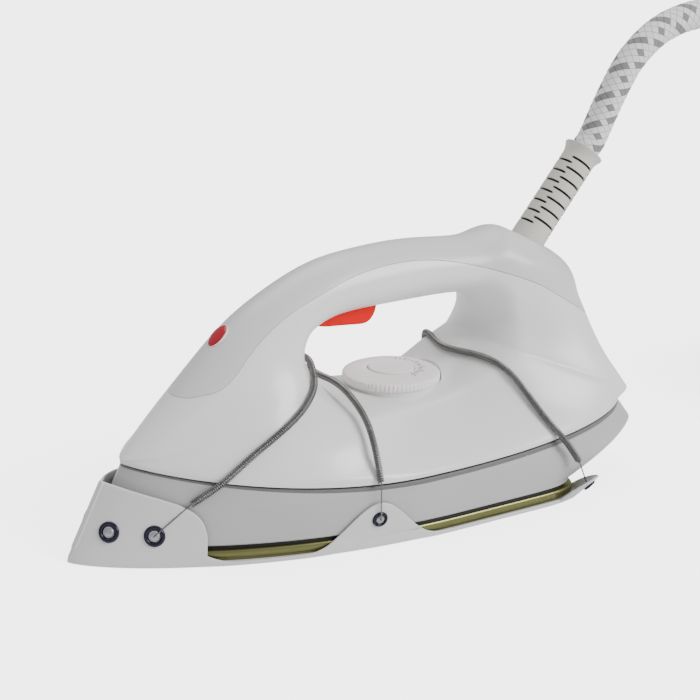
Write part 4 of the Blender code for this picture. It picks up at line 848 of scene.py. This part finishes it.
def rearTabShare(line):
    turn = radians(shoe["rearTurn"])
    normal = outlineNormals(line)
    facing = normal[:, 0] * cos(turn) + np.abs(normal[:, 1]) * sin(turn)
    corner = line[int(np.argmax(np.where(line[:, 1] > 0, facing, -1)))]
    reach = np.hypot(line[:, 0] - corner[0], np.abs(line[:, 1]) - corner[1])
    return np.clip(np.cos(np.clip(reach / shoe["rearHalf"], 0, 1) * pi / 2), 0, 1) ** 0.5


def shoeRing(line, share, inset, crown=0.0):
    # the wall at a share of its height, drawn in by inset: the nose leans back, the mid tab stands
    # clear of the skirt, and the rear tabs flare out and up
    normal = outlineNormals(line)
    tab = rearTabShare(line)
    ahead = line[:, 0] < body["nose"] + 0.7 * body["soleLength"]
    wall = np.maximum(noseWallHeight(line[:, 0]), midTabHeight(line[:, 0])) * ahead
    z = share * (shoe["wall"] + wall + tab * shoe["rearHeight"]) + crown
    lean = shoe["lean"] * z * np.clip(1 - (line[:, 0] - body["nose"]) / (60 * mm), 0, 1) ** 0.5
    outward = tab * share * shoe["rearHeight"] / tan(radians(shoe["rearRise"]))
    turn = radians(shoe["rearTurn"])
    x = line[:, 0] + lean - normal[:, 0] * inset + outward * cos(turn)
    y = line[:, 1] - normal[:, 1] * inset
    root = body["skirtRoot"]
    rise = np.clip((z - root) / (body["skirtCornerZ"] - root), 0, 1)
    clear = planWidth(x, *skirtPlan(rise)) + shoe["wall"] - inset + 2 * hairGap
    clear = np.where(ahead & (z > 6 * mm) & (wall > 0), clear, 0)
    y = np.sign(y) * (np.maximum(np.abs(y), clear) + outward * sin(turn))
    return np.column_stack([x, y, z])


def makeShoe():
    line = planLine(solePlan(), shoe["count"])
    w = shoe["wall"]
    foot = []
    for inset, share, high in ((0.9 * mm, 0.0, 0.0), (0.3 * mm, 0.02, 0.25 * mm)):
        foot.append(shoeRing(planLine(solePlan(inset), shoe["count"]), share, 0.0))
        foot[-1][:, 2] = high
    outside = [shoeRing(line, share, 0.0) for share in np.linspace(0.06, 1, 22)]
    rim = [shoeRing(line, 1.0, w / 2 * (1 - cos(a)), w / 2 * sin(a))
           for a in np.linspace(0, pi, 7)[1:-1]]
    inside = [shoeRing(line, share, w) for share in np.linspace(1, 0.0, 18)]
    for ring in inside:
        ring[:, 2] = np.maximum(ring[:, 2], w)
    piece = loft("shoe", foot + outside + rim + inside, shoeWhite)
    seat(piece, "iron", "shoe_coat", "shoe")
    return treeOf(piece.data)


shoeTree = makeShoe()
print("shoe made")


# eyelets and rivets
def nodeFrame(node):
    # centre and flattest direction of a CAD node's points, turned outwards
    co = np.array([v.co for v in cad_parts[node].data.vertices], float)
    centre = (co.min(0) + co.max(0)) / 2
    _, axes = np.linalg.eigh(np.cov((co - co.mean(0)).T))
    out = axes[:, 0]
    if "rear" in node:
        out = out * (1 if out[2] < 0 else -1)
    else:
        out = out * (1 if out[1] * centre[1] > 0 else -1)
    spread = (co - centre) @ out
    return centre, out, float(np.linalg.norm((co - centre) - np.outer(spread, out), axis=1).max())


def onShoe(node):
    # the point and direction of the shoe's skin under an eyelet
    centre, out, radius = nodeFrame(node)
    hit, normal, _, _ = shoeTree.ray_cast(Vector(centre + out * 7 * mm), Vector(-out), 14 * mm)
    if hit is None:
        return centre, out, radius
    return np.array(hit), np.array(normal), radius


def makeEyelet(node):
    centre, out, radius = onShoe(node)
    foot = centre - out * 0.25 * mm
    a = np.linspace(0, pi, 9)
    bead = 0.2 * radius
    ring = [(0.58 * radius, 0.0)] + [(radius - bead + bead * cos(t), 0.25 * mm + 1.0 * mm * sin(t))
                                     for t in a] + [(0.58 * radius, 0.4 * mm)]
    piece = turned("eyelet_" + node, ring, foot, eyeletNavy, out, 48, closed=True)
    seat(piece, "iron", "eyelet_metal", node)
    dome = [(0.56 * radius, -0.1 * mm), (0.56 * radius, 0.5 * mm), (0.5 * radius, 0.85 * mm),
            (0.42 * radius, 0.8 * mm), (0.38 * radius, 1.0 * mm), (0.3 * radius, 1.12 * mm),
            (0.15 * radius, 1.2 * mm), (0.02 * radius, 1.22 * mm)]
    rivet = turned("rivet_" + node, dome, foot, rivetGrey, out, 40)
    seat(rivet, "iron", "eyelet_metal")


for node in sorted(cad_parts):
    if "eyelet" in node:
        makeEyelet(node)
print("eyelets made")

# holding springs: close-wound coils with a wire down to each eyelet
spring = {"radius": 1.65 * mm, "wire": 0.44 * mm, "pitch": 1.0 * mm, "turnPoints": 14, "wireSides": 6}
springRoutes = {
    "front_spring": [(-30, 0, 76), (-31.5, -8, 77), (-33, -14, 76.3), (-35, -20, 73.7), (-38.5, -25, 70),
                     (-45, -29.5, 65.5), (-53, -33, 60.3), (-64, -36, 54.5), (-78, -36.5, 47),
                     (-92, -35, 38), (-105, -30.2, 28.5)],
    "mid_spring": [(-20, 0, 66), (-20, -11, 66.5), (-20.5, -21, 65.8), (-21.5, -31.5, 63.6),
                   (-22.3, -41, 59.8), (-23.3, -49, 54.5), (-25, -57.5, 44.5), (-26.2, -63.2, 33.5)],
    "rear_spring": [(54, 0, 66), (55.5, -9.5, 66.5), (60.5, -19, 64.5), (65.5, -28.5, 61.8),
                    (69.5, -37.5, 57.5), (71.5, -45, 52), (74, -55, 43), (77.5, -63.5, 36),
                    (82.5, -65.2, 29), (87, -66, 22)],
}
springEyelets = {"front_spring": "front_eyelet_2_", "mid_spring": "mid_eyelet_",
                 "rear_spring": "rear_eyelet_"}


def pushedOut(point, clearance):
    for _ in range(4):
        tree = skinTree if point.z > float(seamHeight(point.x)) else skirtTree
        near, normal, _, distance = tree.find_nearest(point)
        if (point - near).dot(normal) < 0:
            point = near + normal * clearance
        elif distance < clearance:
            point = near + (point - near).normalized() * clearance
    return point


def settled(points, clearance):
    return np.array([pushedOut(Vector(p), clearance) for p in points])


def evened(path, rounds):
    for _ in range(rounds):
        path[1:-1] = (path[:-2] + 2 * path[1:-1] + path[2:]) / 4
    return path


def makeSpring(name):
    # point = centre line + R around it at one turn per pitch, with the wire's own circle on top
    half = settled(np.array(springRoutes[name], float) * mm, spring["radius"] + 0.4 * mm)
    both = np.vstack([half[:0:-1] * (1, -1, 1), half])
    centre = settled(splineThrough(both, 2.5 * mm), spring["radius"] + 0.15 * mm)
    centre = splineThrough(evened(centre, 4), 1.0 * mm)
    tangent, side, other = pathFrames(centre)
    run = np.arange(len(centre)) * np.linalg.norm(np.diff(centre, axis=0), axis=1).mean()
    count = int(run[-1] / spring["pitch"] * spring["turnPoints"])
    s = np.linspace(0, run[-1], count)
    at, t, n, b = (np.stack([np.interp(s, run, v[:, k]) for k in range(3)], 1)
                   for v in (centre, tangent, side, other))
    turn = 2 * pi * s / spring["pitch"]
    spoke = np.cos(turn)[:, None] * n + np.sin(turn)[:, None] * b
    ring = np.linspace(0, 2 * pi, spring["wireSides"], endpoint=False)
    mean = spring["radius"] - spring["wire"]
    points = (at[:, None] + spoke[:, None] * (mean + spring["wire"] * np.cos(ring))[None, :, None]
              + t[:, None] * (spring["wire"] * np.sin(ring))[None, :, None])
    coil = loft(name + "_coil", points, springSteel, angle=80)
    seat(coil, "iron", "spring_steel", name)
    core = loft(name + "_core", tubeRings(centre[::4], mean - 0.35 * mm, 10), springSteel)
    seat(core, "iron", "spring_steel")
    for word, last, before in (("far", centre[0], centre[2]), ("near", centre[-1], centre[-3])):
        eye, out, radius = onShoe(springEyelets[name] + word)
        away = (last - before) / np.linalg.norm(last - before)
        if name == "rear_spring":
            foot = eye - out * 2.2 * mm
            ends = [foot, eye + out * 1.2 * mm]
        else:
            foot = eye + out * 1.3 * mm
            ends = [foot + out * 0.1 * mm, eye + out * 0.9 * mm]
        straight = [last - away * 2 * mm, last + away * 1.2 * mm]
        gap = ends[0] - straight[-1]
        middle = settled([straight[-1] + gap * p for p in (0.35, 0.7)], 0.9 * mm)
        path = splineThrough(np.vstack([straight, middle, ends]), 1.0 * mm)
        wire = loft(name + "_wire_" + word, tubeRings(path, 0.32 * mm, 10), springSteel)
        seat(wire, "iron", "spring_steel")


for name in springRoutes:
    makeSpring(name)
print("springs made")


# dial
def makeDial():
    # radius = rim + a rounded rib wave, strongest half way up the rim
    sides = dial["ribs"] * 10
    turn = np.linspace(0, 2 * pi, sides, endpoint=False)
    r, h = dial["radius"], dial["height"]
    foot, lip = -dial["drop"], dial["cap"] + 0.35 * mm
    profile = [(r - 1.2 * mm, foot, 0), (r - 0.2 * mm, 0.2 * mm + foot, 0.3), (r, 0.7 * mm + foot, 1)]
    edge = [(0, 1.8, 1), (0.1, 2.4, 1), (0.5, 2.9, 0.7), (1.1, 3.2, 0.15), (2.2, 3.6, 0), (5, 4.25, 0),
            (9, 4.75, 0)]
    profile += [(r - inset * mm, up * mm, share) for inset, up, share in edge]
    profile += [(lip + 0.55 * mm, h, 0), (lip + 0.1 * mm, h - 0.1 * mm, 0), (lip, h - 0.5 * mm, 0),
                (lip, h - 1.6 * mm, 0)]
    wave = 0.45 * mm * (np.abs(np.cos(turn * dial["ribs"] / 2)) ** 0.7 - 1)
    rings = []
    for radius, z, share in profile:
        full = radius + wave * share
        rings.append(np.stack([dial["x"] + full * np.cos(turn), full * np.sin(turn),
                               np.full(sides, dial["z"] + z)], 1))
    plinth = turned("dialPlinth", [(r - 1.3 * mm, -9 * mm), (r - 1.3 * mm, -0.9 * mm)],
                    (dial["x"], 0, dial["z"]), shellWhite, sides=96)
    seat(plinth, "iron", "shell_plastic")
    knob = loft("dialKnob", rings, dialWhite, angle=50)
    seat(knob, "dial", "dial_plastic", "dial_knob")
    capProfile = [(dial["cap"] - 0.05 * mm, 0), (dial["cap"] - 0.05 * mm, 1.4 * mm),
                  (dial["cap"] - 0.5 * mm, 1.85 * mm), (dial["cap"] - 3 * mm, 2.1 * mm),
                  (4 * mm, 2.2 * mm), (0.2 * mm, 2.2 * mm)]
    cap = turned("dialCap", capProfile, (dial["x"], 0, dial["z"] + h - 1.3 * mm), dialWhite, sides=96)
    seat(cap, "dial", "dial_plastic", "dial_cap")


def makeDialMarks():
    # short radial ticks, standing 0.05 mm proud of the knob's sloping top
    ticks = []
    for k in range(-3, 12):
        angle = radians(-52 + 9 * k)
        long = 3.2 if k % 3 == 0 else 1.8
        ticks.append((angle, 13.6 * mm, (13.6 + long) * mm, 0.32 * mm))
    rows = []
    faces = []
    for angle, inner, outer, half in ticks:
        along = np.array((cos(angle), sin(angle)))
        side = np.array((-along[1], along[0]))
        base = len(rows)
        for r, w in ((inner, -half), (outer, -half), (outer, half), (inner, half)):
            xy = np.array((dial["x"], 0)) + along * r + side * w
            z = dial["z"] + np.interp(r, (12.3 * mm, 15 * mm, 19 * mm), (4.92 * mm, 4.78 * mm, 4.28 * mm))
            rows += [(*xy, z + 0.05 * mm), (*xy, z - 0.15 * mm)]
        faces += [(base, base + 2, base + 4, base + 6), (base + 7, base + 5, base + 3, base + 1)]
        faces += [(base + 2 * k, base + 2 * k + 1, base + (2 * k + 3) % 8, base + (2 * k + 2) % 8)
                  for k in range(4)]
    marks = addPiece("dialTicks", rows, faces, printGrey)
    seat(marks, "dial", "dial_plastic")


makeDial()
makeDialMarks()
print("dial made")

# trigger
trigger = {"half": 6.8 * mm, "edge": 1.3 * mm,
           "outline": [(-25.5, 92.3), (-20, 91.0), (-12, 90.3), (-4, 89.6), (0.6, 89.3), (4.0, 90.1),
                       (6.4, 92.4), (7.9, 95.4), (8.2, 98.6), (6.0, 101.6), (-8.0, 102.8), (-17.0, 103.0),
                       (-22.6, 101.6), (-24.6, 97.0)]}


def makeTrigger():
    # the side outline carried across the width, drawn in on a quarter circle at both sides
    corners = [(x * mm, 0, z * mm) for x, z in trigger["outline"]]
    line = splineThrough(corners + corners[:1], 0.6 * mm)[:-1, [0, 2]]
    normal = outlineNormals(line[:, :2])
    middle = line.mean(0)
    if ((line - middle) * normal).sum() < 0:
        normal = -normal
    rings = []
    turn = np.linspace(0, pi / 2, 7)
    edge = trigger["edge"]
    across = trigger["half"] - edge + edge * np.cos(turn)
    across = np.concatenate([-across, across[::-1]])
    draw = edge * (1 - np.sin(turn))
    draw = np.concatenate([draw, draw[::-1]])
    for y, inset in zip(across, draw):
        xz = line - normal * inset
        rings.append(np.stack([xz[:, 0], np.full(len(xz), y), xz[:, 1]], 1))
    piece = loft("trigger", rings, triggerRed)
    seat(piece, "trigger_lever", "red_plastic", "trigger")


makeTrigger()


# lens
def makeLens():
    dome = [(1.0, -4 * mm, 0)] + [(cos(t), 0.05 * mm + 0.9 * mm * sin(t), 0)
                                  for t in np.linspace(0, 1.52, 12)]
    piece = loft("indicatorLens", ovalRings(dome), lensRed)
    seat(piece, "iron", "lens_plastic", "indicator_lens")
    # a thin pale ring round the dome: painted highlight on the lens's edge
    rim = [(1.0, -2.5 * mm, 0.06 * mm), (1.0, 0.12 * mm, 0.06 * mm), (1.0, 0.22 * mm, 0.2 * mm),
           (1.0, 0.12 * mm, 0.52 * mm), (1.0, -2.5 * mm, 0.6 * mm)]
    ring = loft("lensHighlightRing", ovalRings(rim), paintedRimHighlight, closed=True)
    seat(ring, "iron", "lens_plastic")


makeLens()
print("trigger and lens made")

# strain relief
sleeve = {"radius": 8.8 * mm, "rows": 14, "pitch": 3.0 * mm, "first": 6.5 * mm,
          "slot": 1.3 * mm, "span": 104.0, "from": 168.0}


def slotCutter(row):
    # a curved bar with round ends, wrapped round the sleeve
    side, other, out = axesFor(sleeveOut)
    high = sleeve["first"] + sleeve["pitch"] * row
    cutters = []
    for half in (0, 1):
        middle = radians(sleeve["from"] + 180 * half + (90 if row % 2 else 0))
        reach = radians(sleeve["span"]) / 2
        u = np.linspace(-1, 1, 25)
        angle = middle + u * reach
        thick = sleeve["slot"] / 2 * np.sqrt(np.clip(1 - np.abs(u) ** 14, 0.02, 1))
        spoke = np.cos(angle)[:, None] * side + np.sin(angle)[:, None] * other
        rings = []
        for radius, sign in ((5.9, -1), (12, -1), (12, 1), (5.9, 1)):
            rings.append(sleeveFoot + spoke * radius * mm + out * (high + sign * thick)[:, None])
        cutters.append(loft("slotCut", np.array(rings).transpose(1, 0, 2)))
    return cutters


def makeSleeve():
    r = sleeve["radius"]
    long = hose["sleeveLength"]
    inner = hose["diameter"] / 2 + 0.25 * mm
    outside = [(2.2, -13), (2.2, -10), (0, -10), (0, 2), (-0.1, 12)]  # mm past the radius, mm up
    mouth = [(-0.2, -8), (-0.2, -5.5), (0, -4), (0.55, -2.4), (1.35, -0.9), (1.6, -0.35), (1.45, 0),
             (1.0, -0.1)]
    profile = [(inner, -13 * mm)] + [(r + out * mm, up * mm) for out, up in outside]
    profile += [(r + out * mm, long + up * mm) for out, up in mouth]
    profile += [(inner + 0.5 * mm, long - 1.8 * mm), (inner, long - 3.5 * mm)]
    piece = turned("strainRelief", profile, sleeveFoot, sleeveBeige, sleeveOut, 96, closed=True)
    for row in range(sleeve["rows"]):
        cutWith(piece, slotCutter(row))
    seat(piece, "iron", "relief_rubber", "strain_relief")
    # the hose inside the sleeve is stood in by a black core: painted shade seen through the slots
    core = turned("sleeveSlotShade", [(hose["diameter"] / 2 - 0.1 * mm, -12 * mm),
                                 (hose["diameter"] / 2 - 0.1 * mm, long - 4.5 * mm)], sleeveFoot,
                  gasketAndSlotShadeBlack, sleeveOut, 64)
    seat(core, "iron", "relief_rubber")


makeSleeve()
print("sleeve made")

# pieces kept from the frame
keptFinishes = {"chamber_lid": brightSteel, "dial_spindle": brightSteel, "fuse_clip": brightSteel,
                "heat_shield": brightSteel, "heating_element": brightSteel, "hose_clamp": brightSteel,
                "lid_screw_1": brightSteel, "lid_screw_2": brightSteel, "lid_screw_3": brightSteel,
                "lid_screw_4": brightSteel, "micro_switch": lipShadowAndSwitchBlack, "neon_lamp": lampGlass,
                "steam_chamber": castAlloy, "steam_pipe": pipeRubber, "switch_plunger": triggerRed,
                "terminal_block": paleCeramic, "thermal_fuse": brightSteel, "thermostat": paleCeramic,
                "trigger_pin": brightSteel, "trigger_spring": springSteel}
for node, finish in keptFinishes.items():
    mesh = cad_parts[node].data
    mesh.materials.clear()
    mesh.materials.append(finish)
